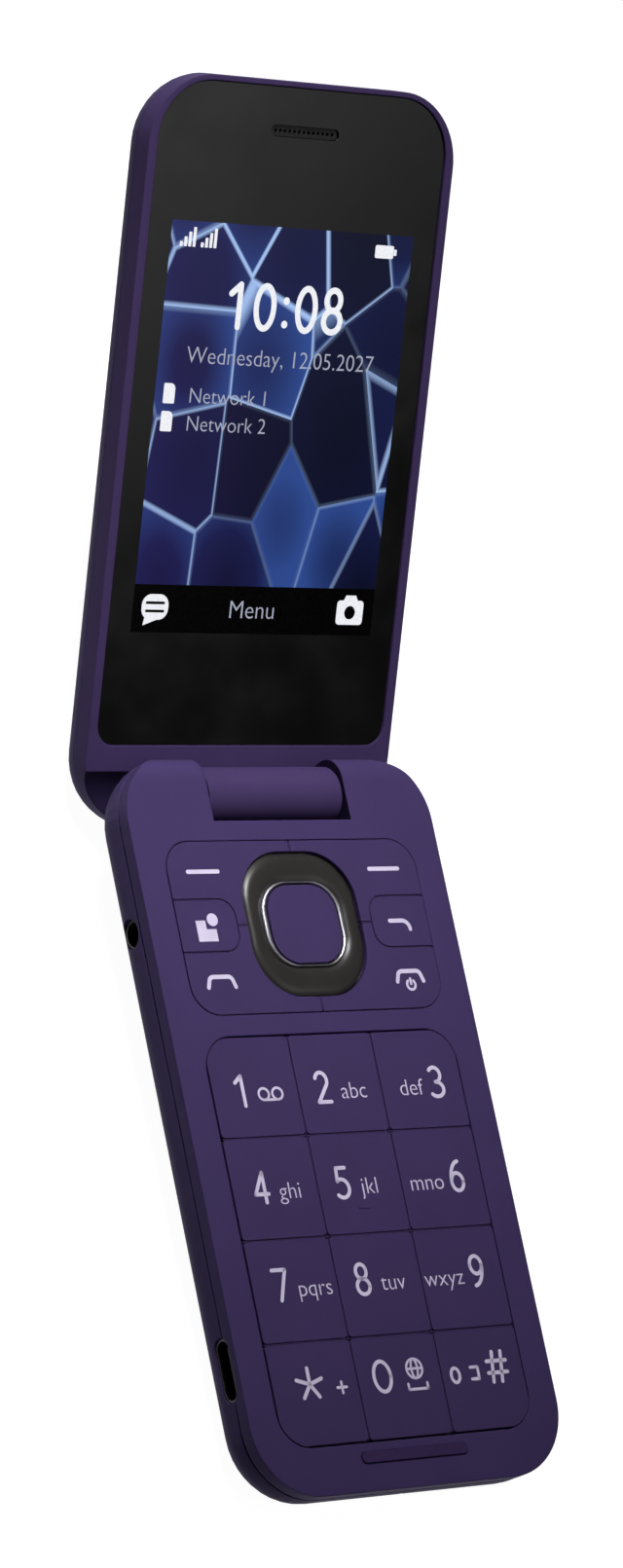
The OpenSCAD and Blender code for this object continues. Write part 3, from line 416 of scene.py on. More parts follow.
def painted_hinge_shade(finish, low, high, half):
    """Paints shade into a finish: the trough colour between two distances from the hinge axis, as far as
    half to each side of the middle, where shade falls. The far limits get a margin, so that walls that lie on
    them are shaded too."""
    tree = finish.node_tree
    base = tree.nodes["Principled BSDF"].inputs["Base Color"]
    where = add_node(tree, "TexCoord").outputs["Object"]
    centre = (0, -HINGE["pos_m"][1], -HINGE["pos_m"][2])
    round_axis = add_node(tree, "Mapping", {"Vector": where, "Location": centre, "Scale": (0, 1, 1)})
    sideways = add_node(tree, "Mapping", {"Vector": where, "Scale": (1, 0, 0)})
    distance, offset = (add_node(tree, "VectorMath", {0: mapping.outputs[0]}, operation="LENGTH")
                        for mapping in (round_axis, sideways))
    # Painted shade: where this mask is one, in the notch and the trough, the trough colour replaces the
    # finish's own
    shade_mask = add_node(tree, "Math", {0: distance.outputs["Value"], 1: low * MM}, operation="GREATER_THAN")
    for measure, limit in ((distance, high), (offset, half)):
        within = add_node(tree, "Math", {0: measure.outputs["Value"], 1: (limit + SHADE_MARGIN) * MM},
                          operation="LESS_THAN")
        shade_mask = add_node(tree, "Math", {0: shade_mask.outputs[0], 1: within.outputs[0]}, operation="MULTIPLY")
    mix = add_node(tree, "Mix", {0: shade_mask.outputs[0], 6: base.links[0].from_socket, 7: (*colours().trough, 1)},
                   data_type="RGBA")
    tree.links.new(mix.outputs[2], base)
    return finish


def soft_touch_paint():
    """Soft-touch purple paint on moulded polycarbonate: even and a little cloudy, with dull highlights. The
    walls of the notch for the barrel get painted shade, a dark colour for the shade that falls there."""
    finish = moulded("soft_touch_purple_paint", colours().face, **SOFT_TOUCH)
    return painted_hinge_shade(finish, 0, NOTCH_R, NOTCH_HALF)


def lid_paint_with_trough_shade():
    """Soft-touch paint on the lid's frame, with painted shade in the trough round the shoulders: between the
    barrel and the trough's rim the colour is darkened, so that the gap beside each shoulder looks deep."""
    finish = moulded("soft_touch_paint_bare_trough", colours().lid, **SOFT_TOUCH)
    return painted_hinge_shade(finish, BARREL_R + 2 * SHADE_MARGIN, TROUGH_R, LID_HALF)


def key_polycarbonate():
    """Painted polycarbonate key caps: the face's purple, slightly smoother than its paint."""
    return moulded("painted_polycarbonate_keys", colours().keys, rough=0.52, cloud=9.0, spread=0.05,
                   shine=0.1)


def shell_polycarbonate():
    """Dark polycarbonate shells: matt, with a fine spark-eroded grain. Inside the notch for the barrel they
    get painted shade, a darker colour for the shade that falls there."""
    finish = moulded("grained_polycarbonate_shell", colours().shell, rough=0.6, cloud=12.0, grain=0.4,
                     bump=0.012, shine=0.05, edge=0.4)
    return painted_hinge_shade(finish, 0, NOTCH_R, NOTCH_HALF)


def ring_nylon():
    """Moulded black nylon of the navigation ring: satin, warm and nearly black."""
    return moulded("satin_black_nylon", colours().ring, rough=0.36, cloud=6.0, spread=0.2, bump=0.004)


def chrome_plating():
    """Chrome plate on the ring's trim: a cool satin mirror that shows the studio as light and dark."""
    return metal("chrome_plated_trim", linear("#d6d4dc"), 0.36)


def silicone_web():
    """Moulded silicone of the web between the keys: dull, the keys' purple in a deeper shade."""
    return moulded("moulded_silicone_web", linear("#34274f"), rough=0.6, cloud=5.0, shine=0.2)


def silicone_bumper():
    """Moulded silicone of the closing bumper: the face's purple, dull, a shade darker."""
    return moulded("moulded_silicone_bumper", linear("#3c2c55"), rough=0.65, cloud=5.0, shine=0.08)


def black_polymer():
    """Black moulded polymer of jack, speakers and camera body: matt, hiding its form in the shade."""
    return moulded("moulded_black_polymer", linear("#121213"), rough=0.5, cloud=4.0)


def socket_steel():
    """Drawn steel of the charging socket, darkened as painted shade inside, with a dull line of light along
    its mouth.
    """
    return metal("blackened_drawn_steel", linear("#3c3b40"), 0.38)


def key_ink():
    """Screen-printed lavender ink of the legends: opaque and dull, with a little uneven cover."""
    return moulded("screen_printed_ink", colours().ink, rough=0.55, cloud=2.0, grain=0.3, spread=0.05,
                   bump=0.002)


def window_acrylic():
    """Black-backed acrylic of the windows: near black under a clear polish, with faint wipe marks."""
    return moulded("black_backed_acrylic", colours().window, rough=0.12, cloud=18.0, grain=9.0, spread=0.25,
                   bump=0.0, ior=1.49)


def lens_glass():
    """Coated lens glass with painted reflections in its colour: a violet-blue pupil, the coating's painted
    reflection, in a black iris, and a thin grey ring of painted highlight on the mount. A hard highlight
    comes from its polish.
    """
    finish, tree, shader = new_finish("coated_lens_glass")
    low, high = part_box("camera_lens")
    where = add_node(tree, "TexCoord").outputs["Object"]
    away = add_node(tree, "VectorMath", {0: where, 1: (low + high) / 2}, operation="DISTANCE")
    share = add_node(tree, "MapRange", {"Value": away.outputs["Value"], "From Max": (high - low).x / 2})
    rings = add_node(tree, "ValToRGB", {"Fac": share.outputs[0]})
    stops = rings.color_ramp.elements
    stops[0].color = (*linear("#2c2a5e"), 1)
    stops[1].color = (*linear("#08080a"), 1)
    # Painted highlights: the pupil's violet and the grey ring stand in for reflections of the coating and
    # mount
    highlight_stops = {0.28: "#14122e", 0.4: "#040406", 0.62: "#060608", 0.68: "#4a4a50", 0.76: "#0a0a0c"}
    for spot, code in highlight_stops.items():
        stops.new(spot).color = (*linear(code), 1)
    connect(tree, shader, {"Base Color": rings.outputs["Color"], "Roughness": 0.08})
    return finish


def flash_diffuser():
    """Frosted acrylic of the flash: pale yellow and a little rough."""
    return moulded("frosted_acrylic_diffuser", linear("#efe9d2"), rough=0.3, cloud=1.0)


def solder_mask():
    """Green solder mask on the boards: a thin gloss, darker and lighter in faint clouds."""
    return moulded("green_solder_mask", linear("#24563a"), rough=0.35, cloud=5.0, spread=0.2)


def polyimide_film():
    """Polyimide film of the flexible circuits: amber, smooth and thin."""
    return moulded("polyimide_film", linear("#b57d2c"), rough=0.3, cloud=6.0)


def silicone_mat():
    """Milky silicone of the keypad mat: pale, dull and soft to the light."""
    return moulded("moulded_silicone_mat", linear("#bdbdbf"), rough=0.6, cloud=8.0)


def light_guide():
    """White light guide behind the display: even and bright."""
    return moulded("white_light_guide", linear("#e8e8e8"), rough=0.4, cloud=10.0)


def panel_glass():
    """Liquid-crystal panel glass: dark blue when unlit, polished."""
    return moulded("unlit_panel_glass", linear("#1b2036"), rough=0.12, cloud=10.0, bump=0.0)


def battery_film():
    """Printed film round the battery: plain dark grey with a soft sheen."""
    return moulded("battery_film", linear("#3a3a3d"), rough=0.45, cloud=12.0)


def gold_plating():
    """Gold plate on contacts and antenna: warm and bright."""
    return metal("gold_plated_contacts", linear("#d9b25f"), 0.2)


def stainless_steel():
    """Stamped stainless steel: grey, with fine rolling lines."""
    return metal("stamped_stainless_steel", linear("#b9bcc2"), 0.3)


def light_up(tree, shader, colour):
    """Makes a shader a lit screen: the colour is its own light, under polished black glass."""
    connect(tree, shader, {"Emission Color": colour, "Emission Strength": 1, "Base Color": (0, 0, 0, 1),
                           "Roughness": 0.1})


def lit_wallpaper():
    """A lit liquid-crystal picture under polished glass: dark blue and violet facets with thin pale edges.
    The facets are about 12 mm across and their edges a third of a millimetre."""
    finish, tree, shader = new_finish("lit_screen_facets")
    where = add_node(tree, "UVMap", uv_map="screen").outputs["UV"]
    turned = add_node(tree, "Mapping", {"Vector": where, "Rotation": (0, 0, 0.6), "Scale": (1, 0.7, 1)})
    facet = {"Vector": turned.outputs[0], "Scale": 1 / 12}
    cells = add_node(tree, "TexVoronoi", facet, feature="F1")
    edges = add_node(tree, "TexVoronoi", facet, feature="DISTANCE_TO_EDGE")
    chance = add_node(tree, "SeparateColor", {"Color": cells.outputs["Color"]})
    shade = add_node(tree, "Math", {0: chance.outputs[0], 1: cells.outputs["Distance"]}, operation="MULTIPLY")
    blues = add_node(tree, "ValToRGB", {"Fac": shade.outputs[0]})
    stops = blues.color_ramp.elements
    stops[0].color = (*linear("#05071a"), 1)
    stops[1].position = 0.6
    stops[1].color = (*linear("#2c488c"), 1)
    stops.new(0.3).color = (*linear("#121843"), 1)
    across = add_node(tree, "SeparateXYZ", {"Vector": where})
    left = add_node(tree, "MapRange", {"Value": across.outputs["X"], "From Min": -22.0, "From Max": 6.0,
                                       "To Min": 0.35, "To Max": 0.0})
    tint = add_node(tree, "Mix", {0: left.outputs[0], 6: blues.outputs[0], 7: (*linear("#2c2060"), 1)},
                    data_type="RGBA")
    line = add_node(tree, "MapRange", {"Value": edges.outputs["Distance"], "From Min": 0.008,
                                       "From Max": 0.032, "To Min": 1.0, "To Max": 0.0})
    glow = add_node(tree, "Math", {0: line.outputs[0], 1: chance.outputs[1]}, operation="MULTIPLY")
    picture = add_node(tree, "Mix", {0: glow.outputs[0], 6: tint.outputs[2], 7: (*linear("#a9c8f8"), 1)},
                       data_type="RGBA")
    light_up(tree, shader, picture.outputs[2])
    shader.inputs["IOR"].default_value = 1.3
    return finish


def lit_pixels(name, dim, bright):
    """Lit pixels between a dimmer and a brighter colour: their own light, a little uneven."""
    finish, tree, shader = new_finish(name)
    where = add_node(tree, "TexCoord").outputs["Object"]
    cells = add_node(tree, "TexNoise", {"Vector": where, "Scale": 1 / (0.4 * MM)})
    ramp = add_node(tree, "ValToRGB", {"Fac": cells.outputs[0]})
    ramp.color_ramp.elements[0].color = (*linear(dim), 1)
    ramp.color_ramp.elements[1].color = (*linear(bright), 1)
    light_up(tree, shader, ramp.outputs["Color"])
    return finish


def white_pixels():
    """Lit white pixels of the clock and the icons: the brightest spots of the screen."""
    return lit_pixels("lit_white_pixels", "#d8dce8", "#ffffff")


def grey_pixels():
    """Lit grey pixels of the small words: readable, but behind the clock."""
    return lit_pixels("lit_grey_pixels", "#8e93a8", "#b4b8c8")


def unlit_pixels():
    """Unlit pixels of the bar under the picture: the deepest black of the screen, polished like the rest."""
    return moulded("unlit_black_pixels", linear("#020202"), rough=0.1, cloud=3.0, spread=0.2, bump=0.0,
                   ior=1.2)


def paper_floor():
    """Seamless paper: pale and matt. Seen directly or mirrored it has light of its own, so that it reads as
    white, and it keeps the phone's shadow."""
    finish, tree, shader = new_finish("seamless_paper_floor")
    where = add_node(tree, "TexCoord").outputs["Object"]
    fibres = add_node(tree, "TexNoise", {"Vector": where, "Scale": 1 / (3 * MM), "Detail": 4.0})
    ramp = add_node(tree, "ValToRGB", {"Fac": fibres.outputs[0]})
    for element, share in zip(ramp.color_ramp.elements, (0.98, 1.0)):
        element.color = [c * share for c in colours().floor] + [1]
    rays = add_node(tree, "LightPath").outputs
    seen = add_node(tree, "Math", {0: rays["Is Camera Ray"], 1: rays["Is Glossy Ray"]}, operation="MAXIMUM")
    shown = add_node(tree, "Math", {0: seen.outputs[0], 1: rays["Is Transmission Ray"]}, operation="MAXIMUM")
    lift = add_node(tree, "Math", {0: shown.outputs[0], 1: 0.97}, operation="MULTIPLY")
    connect(tree, shader, {"Base Color": ramp.outputs["Color"], "Roughness": 0.95,
                           "Emission Color": (1, 1, 1, 1), "Emission Strength": lift.outputs[0]})
    return finish


def dress(names, finish, edge=None):
    """Gives CAD nodes their finish. Where an edge is given, equal points are welded, flat triangles joined,
    edges over 35 degrees rounded by that width, and normals weighted by face area so that flats stay flat."""
    for name in names:
        node = NODES[name]
        node.data.materials.clear()
        node.data.materials.append(finish)
        if edge is None:
            continue
        node.modifiers.new("weld", "WELD").merge_threshold = 1e-6
        flats = node.modifiers.new("join flats", "DECIMATE")
        flats.decimate_type = "DISSOLVE"
        flats.angle_limit = math.radians(0.6)
        rounding = node.modifiers.new("round edges", "BEVEL")
        rounding.width = edge
        rounding.segments = 3
        rounding.limit_method = "ANGLE"
        rounding.angle_limit = math.radians(35)
        rounding.use_clamp_overlap = False
        node.modifiers.new("even normals", "WEIGHTED_NORMAL").weight = 80


# Pieces

class PHONE_OT_stage(bpy.types.Operator):
    """Camera at the photograph's angle, paper floor and soft studio light"""
    bl_idname = "phone.stage"
    bl_label = "Stage"

    def execute(self, context):
        self.add_camera(context.scene)
        self.add_floor(context.scene)
        self.add_softbox(context.scene)
        self.add_sky(context.scene)
        context.scene.view_settings.view_transform = "Standard"
        return {"FINISHED"}

    def add_camera(self, scene):
        """The camera stands 795 mm from the middle of the phone: azimuth and elevation give its way of
        looking, and the roll turns it about that way."""
        azimuth, elevation, roll = (math.radians(a) for a in (63.64, 46.96, -55.59))
        distance = 795 * MM
        target = Vector((3.854, 4.671, 20)) * MM
        level = math.cos(elevation)
        way = Vector((math.sin(azimuth) * level, math.cos(azimuth) * level, -math.sin(elevation)))
        right = Matrix.Rotation(roll, 3, way) @ Vector((math.cos(azimuth), -math.sin(azimuth), 0))
        turn = Matrix((right, right.cross(way), -way)).transposed()
        data = bpy.data.cameras.new("camera")
        data.lens = 126.49
        data.sensor_width = 36
        data.clip_start = 0.05
        camera = bpy.data.objects.new("camera", data)
        camera.matrix_world = Matrix.Translation(target - way * distance) @ turn.to_4x4()
        scene.collection.objects.link(camera)
        scene.camera = camera

    def add_floor(self, scene):
        """A square grid of the floor plane, 4 m wide, under the phone's lowest point."""
        flat, quads = grid((-2, 2), (-2, 2), 9)
        mesh = bpy.data.meshes.new("floor")
        mesh.from_pydata(at_heights(flat, [0]).tolist(), [], quads.tolist())
        mesh.materials.append(paper_floor())
        floor = bpy.data.objects.new("floor", mesh)
        scene.collection.objects.link(floor)

    def add_softbox(self, scene):
        """A square soft box with a grid over the hinge: brightest there, less towards the free ends."""
        data = bpy.data.lights.new("softbox", "AREA")
        data.size = 160 * MM
        data.energy = 0.139
        data.spread = math.radians(33)
        light = bpy.data.objects.new("softbox", data)
        spot = Vector((-80, 230, 390)) * MM
        way = Vector((-15, 25, 15)) * MM - spot
        light.matrix_world = Matrix.Translation(spot) @ way.to_track_quat("-Z", "Y").to_matrix().to_4x4()
        scene.collection.objects.link(light)

    def add_sky(self, scene):
        """Dim light from all round, a little stronger from the right, with a soft white panel that the window
        mirrors. The panel fades between two angles from its middle, given by their cosines."""
        world = bpy.data.worlds.new("studio")
        world.use_nodes = True
        scene.world = world
        tree = world.node_tree
        where = add_node(tree, "TexCoord").outputs["Generated"]
        parts = add_node(tree, "SeparateXYZ", {"Vector": where})
        side = add_node(tree, "MapRange", {"Value": parts.outputs["X"], "From Min": -1.0, "To Min": 0.035,
                                           "To Max": 0.075})
        panel = Vector((0.42, -0.38, 0.82)).normalized()
        faded, full = 0.947, 0.981
        near = add_node(tree, "VectorMath", {0: where, 1: panel}, operation="DOT_PRODUCT")
        glow = add_node(tree, "MapRange", {"Value": near.outputs["Value"], "From Min": faded,
                                           "From Max": full}, interpolation_type="SMOOTHSTEP")
        total = add_node(tree, "Math", {0: side.outputs[0], 1: glow.outputs[0]}, operation="ADD")
        connect(tree, tree.nodes["Background"], {"Color": (1, 1, 1, 1), "Strength": total.outputs[0]})


class PHONE_OT_shells(bpy.types.Operator):
    """Shells of both halves: painted front cover and lid frame, grained housing and covers"""
    bl_idname = "phone.shells"
    bl_label = "Shells"

    def execute(self, context):
        # These finishes carry painted shade in the hinge's notch and the lid's trough
        dress(["front_cover"], soft_touch_paint())
        dress(["lid_frame"], lid_paint_with_trough_shade())
        dress(["base_housing", "rear_cover", "lid_cover", "volume_key"], shell_polycarbonate())
        return {"FINISHED"}


class PHONE_OT_keys(bpy.types.Operator):
    """Number keys, the keys beside the navigation ring, the centre key and the web in their gaps"""
    bl_idname = "phone.keys"
    bl_label = "Keys"

    def execute(self, context):
        dress(NUMBER_KEYS + UPPER_KEYS + ["ok_key"], key_polycarbonate(), sizes().key_edge)
        groove = sizes().groove_depth / MM
        shapes = [self.strip(path, groove) for path in self.pad_lines() + self.side_key_lines()]
        shapes += [self.strip(path, groove / 4) for path in self.panel_seams()]
        make_piece("key_web", join(shapes), "base", "base", silicone_web())
        return {"FINISHED"}

    def strip(self, path, depth):
        """A strip of the web along a path, whose top lies the given depth below the keys' tops."""
        return flat_solid(stroke_loop(path, sizes().web_width / MM), KEY_TOP - 0.8, KEY_TOP - depth)

    def pad_lines(self):
        """Middle lines of the gaps in the grid of number keys, between three columns and four rows."""
        top, foot, end = PAD_TOP - WEB_INSET, PAD_TOP - 4 * PITCH_Y + WEB_INSET, PAD_HALF - WEB_INSET
        down = [[[x, top], [x, foot]] for x in (-PITCH_X / 2, PITCH_X / 2)]
        return down + [[[-end, PAD_TOP - PITCH_Y * i], [end, PAD_TOP - PITCH_Y * i]] for i in (1, 2, 3)]

    def side_key_lines(self):
        """Middle lines of the gaps round the two side keys, 7.8 mm high: out from the panel's edge, round two
        corners, and back."""
        top, low = NAV_CENTRE[1] + 3.9, NAV_CENTRE[1] - 3.9
        corner_x, radius, end = 14.8, 2.65, PAD_HALF - WEB_INSET
        bend = [arc_path((corner_x, top - radius), (radius, radius), 90, 180, 9),
                arc_path((corner_x, low + radius), (radius, radius), 180, 270, 9)]
        path = np.concatenate([[[end, top]], *bend, [[end, low]]])
        return [path, path * [-1, 1]]

    def panel_seams(self):
        """Middle lines of the short seams between the ring and its neighbours."""
        middle = NAV_CENTRE[1]
        across = [[[s * 10.4, middle], [s * 11.9, middle]] for s in (-1, 1)]
        return across + [[[0, -8.4], [0, -9.6]], [[0, -31.6], [0, -33.4]]]


class PHONE_OT_navigation(bpy.types.Operator):
    """Crowned navigation ring and its bright trim"""
    bl_idname = "phone.navigation"
    bl_label = "Navigation"

    # Size and corner radius of the ring's opening, the bead's play in it, and the foot of both sections
    opening, opening_r, fit = np.array([14.5, 12.72]), 4.95, 0.02
    foot = [[1, RING_LOW], [0, RING_LOW]]

    def execute(self, context):
        ring = make_piece("nav_ring_crowned", self.band(), "base", "nav_ring", ring_nylon())
        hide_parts("nav_ring")
        trim = make_piece("nav_trim_bead", self.bead(), "base", "nav_ring", chrome_plating())
        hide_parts("nav_trim")
        return {"FINISHED"}

    def loop(self, size, radius):
        """Points round a rounded rectangle about the ring's centre."""
        return rounded_loop(NAV_CENTRE, size, radius, 16)

    def band(self):
        """The ring: its top falls half a millimetre from the middle to both edges, by the power 3.2 of the
        share of the way."""
        share = np.linspace(0, 1, 19)
        crown = KEY_TOP - 0.5 * np.abs(2 * share - 1) ** 3.2
        section = np.concatenate([np.column_stack([share, crown]), self.foot])
        return loft(self.loop((20, 21.2), 7.5), self.loop(self.opening, self.opening_r), section)

    def bead(self):
        """The trim: half an ellipse over a straight foot, a quarter of a millimetre high, wider at the sides
        of the centre key than above and below it."""
        angle = np.linspace(np.pi, 0, 9)
        top = np.column_stack([0.5 + 0.5 * np.cos(angle), TRIM_TOP - 0.25 + 0.25 * np.sin(angle)])
        outside = self.loop(self.opening - 2 * self.fit, self.opening_r - self.fit)
        return loft(outside, self.loop((12.9, 12.3), 4.5), np.concatenate([top, self.foot]))


class PHONE_OT_legends(bpy.types.Operator):
    """Printed digits, letters and icons on the keys"""
    bl_idname = "phone.legends"
    bl_label = "Legends"

    def execute(self, context):
        ink = key_ink()
        top = KEY_TOP + sizes().ink_height / MM
        marks = {**self.number_marks(), **self.last_row_marks(), **self.upper_marks()}
        words = self.words()
        for name, loops in marks.items():
            shapes = [flat_solid(loop, KEY_TOP, top) for loop in loops]
            shapes += [raised(letters, KEY_TOP, top) for letters in words.get(name, [])]
            make_piece("legend_" + name, join(shapes), "base", name, ink)
        return {"FINISHED"}

    def number_marks(self):
        """Digits one to nine, and the double loop beside the one."""
        height, pen = sizes().digit_height / MM, sizes().digit_pen / MM
        marks = {}
        for i, name in enumerate(NUMBER_KEYS[:9]):
            spot = COLUMN_X[i % 3], FIRST_ROW_Y - ROW_STEP * (i // 3)
            marks[name] = digit_loops(str(i + 1), spot, height, pen)
        loop_y = FIRST_ROW_Y - 0.6
        for x in (-13.6, -11.2):
            marks["key_1"].append(oval_loop((x, loop_y), (0.9, 0.85), FINE_PEN))
        marks["key_1"] += line_loops([(-13.6, loop_y - 0.85, -11.2, loop_y - 0.85)], FINE_PEN)
        return marks

    def words(self):
        """Letters of the number keys: after the digit in the left two columns, before it in the right one."""
        letters = ["abc", "def", "ghi", "jkl", "mno", "pqrs", "tuv", "wxyz"]
        height = sizes().letter_height / MM
        ends = ((-14.4, 0), (0.2, 0), (15.2, 1))
        words = {}
        for i, text in enumerate(letters, 1):
            low = FIRST_ROW_Y - ROW_STEP * (i // 3) - 1.75
            words[NUMBER_KEYS[i]] = [lettering(text, height, low, *ends[i % 3])]
        return words

    def last_row_marks(self):
        """Star with a plus, zero with a globe over a space bar's bracket, and hash with two small marks."""
        height, pen = sizes().digit_height / MM, sizes().digit_pen / MM
        y = FIRST_ROW_Y - 3 * ROW_STEP
        hub = np.array([-15.9, y - 0.2])
        arms = [hub + 2.3 * np.array([math.cos(a), math.sin(a)]) for a in np.radians([90, 162, 234, 306, 18])]
        star = [stroke_loop([hub, arm], pen) for arm in arms]
        plus = line_loops([(-11.2, y - 1, -9.6, y - 1), (-10.4, y - 1.8, -10.4, y - 0.2)], SIGN_PEN)
        zero = digit_loops("0", (COLUMN_X[1], y), height, pen, 0.72)
        globe = [oval_loop((2.9, y + 0.75), (width, 1.4), FINE_PEN, 30) for width in (1.4, 0.55)]
        equator = line_loops([(1.6, y + 0.75, 4.2, y + 0.75)], FINE_PEN)
        bracket = line_loops([(1.3, y - 2.2, 4.7, y - 2.2), (1.3, y - 1.4, 1.3, y - 2.2),
                              (4.7, y - 1.4, 4.7, y - 2.2)], SIGN_PEN)
        x, half = COLUMN_X[2], height / 2 - pen / 2
        bars = []
        for s in (-1, 1):
            bars += line_loops([(x + s * 0.8 - 0.3, y - half, x + s * 0.8 + 0.3, y + half),
                                (x - 1.75, y + s * 0.85, x + 1.75, y + s * 0.85)], pen)
        drop = [oval_loop((10, y - 0.75), (0.75, 1.05), 0.5)]
        hook = line_loops([(12.9, y + 0.2, 14.2, y + 0.2), (14.2, y + 0.2, 14.2, y - 1.5),
                           (12.9, y - 1.5, 14.2, y - 1.5)], 0.45)
        return {"key_star": star + plus, "key_0": zero + globe + equator + bracket,
                "key_hash": bars + drop + hook}

    def upper_marks(self):
        """Dashes of the soft keys, handsets of the call and end keys, and the marks of the two side keys."""
        pen = sizes().icon_pen / MM
        mirror = np.array([-1, 1])
        dash = np.array([[-19.0, -12.55], [-13.7, -12.55]])
        handset = np.concatenate([[[-19.4, -29.7]], arc_path((-18.3, -28.9), (0.8, 0.75), 165, 90, 6),
                                  arc_path((-15.7, -28.9), (0.8, 0.75), 90, 15, 6), [[-14.6, -29.7]]])
        hook = np.concatenate([[[15.5, -20.5]], arc_path((17.7, -21.8), (1.3, 1.3), 90, 0, 8)])
        step = np.array([[-19.4, -22.9], [-16.0, -22.9], [-16.0, -21.1],
                         [-17.7, -21.1], [-17.7, -19.8], [-19.4, -19.8]])
        power = [stroke_loop(arc_path((17.0, -30.2), (0.75, 0.75), 130, 410), SIGN_PEN)]
        power += line_loops([(17, -29.3, 17, -30.1)], SIGN_PEN)
        return {
            "soft_key_left": [stroke_loop(dash, pen)],
            "soft_key_right": [stroke_loop(dash * mirror, pen)],
            "shortcut_key": [step, circle_loop((-16.4, -19.7), 0.95)],
            "back_key": [stroke_loop(hook, pen)],
            "call_key": [stroke_loop(handset, pen)],
            "end_key": [stroke_loop(handset * mirror, pen)] + power,
        }


class PHONE_OT_screen(bpy.types.Operator):
    """Display windows, lit picture, soft-key bar, clock and signs of the main screen"""
    bl_idname = "phone.screen"
    bl_label = "Screen"

    # Height of the lit sheets, a hundredth of a millimetre over the window
    level = WINDOW_TOP + 0.01

    def execute(self, context):
        dress(["display_window", "outer_window"], window_acrylic(), sizes().small_edge)
        low, high = self.level, self.level + 0.02
        dark = unlit_pixels()
        words = [raised(text, low, high) for text in self.texts()]
        marks = [flat_solid(loop, low, high) for loop in self.marks()]
        dashes = line_loops([(-19.4, v, -16.4, v) for v in (27.5, 26.3)], SIGN_PEN)
        lines = [flat_solid(dash, low, high + 0.01) for dash in dashes]
        pieces = [
            self.sheet("screen_picture", (PICTURE_FOOT, PICTURE_TOP), lit_wallpaper(), 40),
            self.sheet("screen_bar", (BAR_FOOT, PICTURE_FOOT), dark, 4),
            make_piece("screen_signs", join(marks), "lid", "lid", white_pixels()),
            make_piece("screen_words", join(words), "lid", "lid", grey_pixels()),
            make_piece("screen_bubble_lines", join(lines), "lid", "lid", dark),
        ]
        return {"FINISHED"}

    def sheet(self, name, reach, finish, steps):
        """A thin sheet on the window: an even grid of points, closed below by its own copy and round its rim
        by a wall, with a map of its millimetres from the hinge's middle."""
        half = sizes().screen_width / MM / 2
        flat, top = grid((-half, half), reach, steps)
        count = len(flat)
        side = np.arange(steps)
        back = side[-2::-1]
        rim = np.concatenate([side * steps, count - steps + side[1:], back * steps + steps - 1, back[:-1]])
        after = np.roll(rim, -1)
        wall = np.stack([rim + count, after + count, after, rim], -1)
        points = at_heights(flat, (self.level, self.level - 0.04))
        faces = np.concatenate([top, wall, top[:, ::-1] + count])
        piece = make_piece(name, (points, faces.tolist()), "lid", "lid", finish)
        piece.data.uv_layers.new(name="screen").data.foreach_set("uv", points[faces.ravel(), :2].ravel())
        return piece

    def texts(self):
        """Date, the two network lines and the bar's word."""
        lines = [lettering("Network %d" % i, 2.1, 60.4 - 4.0 * i, -15.6, 0) for i in (1, 2)]
        date = lettering("Wednesday, 12.05.2027", 2.3, 62.1, 0, 0.5)
        return lines + [date, lettering("Menu", 2.5, 25.5, -0.5, 0.5)]

    def marks(self):
        """Clock, network cards, signal and battery marks, speech bubble and camera."""
        clock = [loop for digit, x in zip("1008", (-8.9, -3.9, 3.6, 8.4))
                 for loop in digit_loops(digit, (x, 70.6), 7.0, 0.92)]
        colon = [circle_loop((-0.15, v), 0.55) for v in (68.3, 71.7)]
        cards = [rounded_loop((-19.3, 61.6 - 4.0 * i), (2.0, 2.9), (0.2, 0.2, 0.8, 0.2)) for i in (1, 2)]
        bars = [rounded_loop((x + 0.75 * i, 78.9 + 0.35 * i), (0.5, 0.7 * (i + 1)), 0.1)
                for x in (-19.9, -16.2) for i in range(4)]
        battery = [rounded_loop((16.7, 79.7), (3.4, 1.9), 0.3), rounded_loop((18.7, 79.7), (0.5, 0.9), 0.1)]
        tail = np.array([[-19.8, 24.2], [-17.0, 25.2], [-19.4, 26.4]])
        bubble = [rounded_loop((-17.9, 26.9), (4.7, 3.7), 1.6), tail]
        return clock + colon + cards + bars + battery + bubble + [self.camera_loop((17.5, 26.6), 4.9, 3.6)]

    def camera_loop(self, centre, width, height):
        """Outline of a camera with a bump on top and a round lens opening, reached by a slit from below."""
        body = rounded_loop(centre, (width, height), 0.6)
        lens = arc_path(centre, (1.0, 1.0), -90, -450, 30)
        foot = np.array([[centre[0], centre[1] - height / 2]])
        top = centre[0], centre[1] + height / 2
        bump = np.array([[1.3, 0], [0.9, 0.75], [-0.9, 0.75], [-1.3, 0]]) + top
        first, second, third, last = np.split(body, 4)
        return np.concatenate([first, foot, lens, foot, second, third, bump, last])


class PHONE_OT_ports(bpy.types.Operator):
    """Headset jack, charging socket, closing bumper and the earpiece's mesh"""
    bl_idname = "phone.ports"
    bl_label = "Ports and bumper"

    def execute(self, context):
        dress(["headset_jack", "earpiece", "earpiece_mesh"], black_polymer())
        dress(["usb_socket"], socket_steel(), sizes().small_edge)
        dress(["closing_bumper"], silicone_bumper(), sizes().key_edge)
        return {"FINISHED"}


class PHONE_OT_lid_back(bpy.types.Operator):
    """Outer display, camera and flash on the lid's back"""
    bl_idname = "phone.lid_back"
    bl_label = "Back of the lid"

    def execute(self, context):
        edge = sizes().small_edge
        dress(["camera_lens"], lens_glass(), edge)
        dress(["camera_module"], black_polymer(), edge)
        dress(["flash_lens"], flash_diffuser(), edge)
        dress(["outer_display"], panel_glass(), edge)
        return {"FINISHED"}


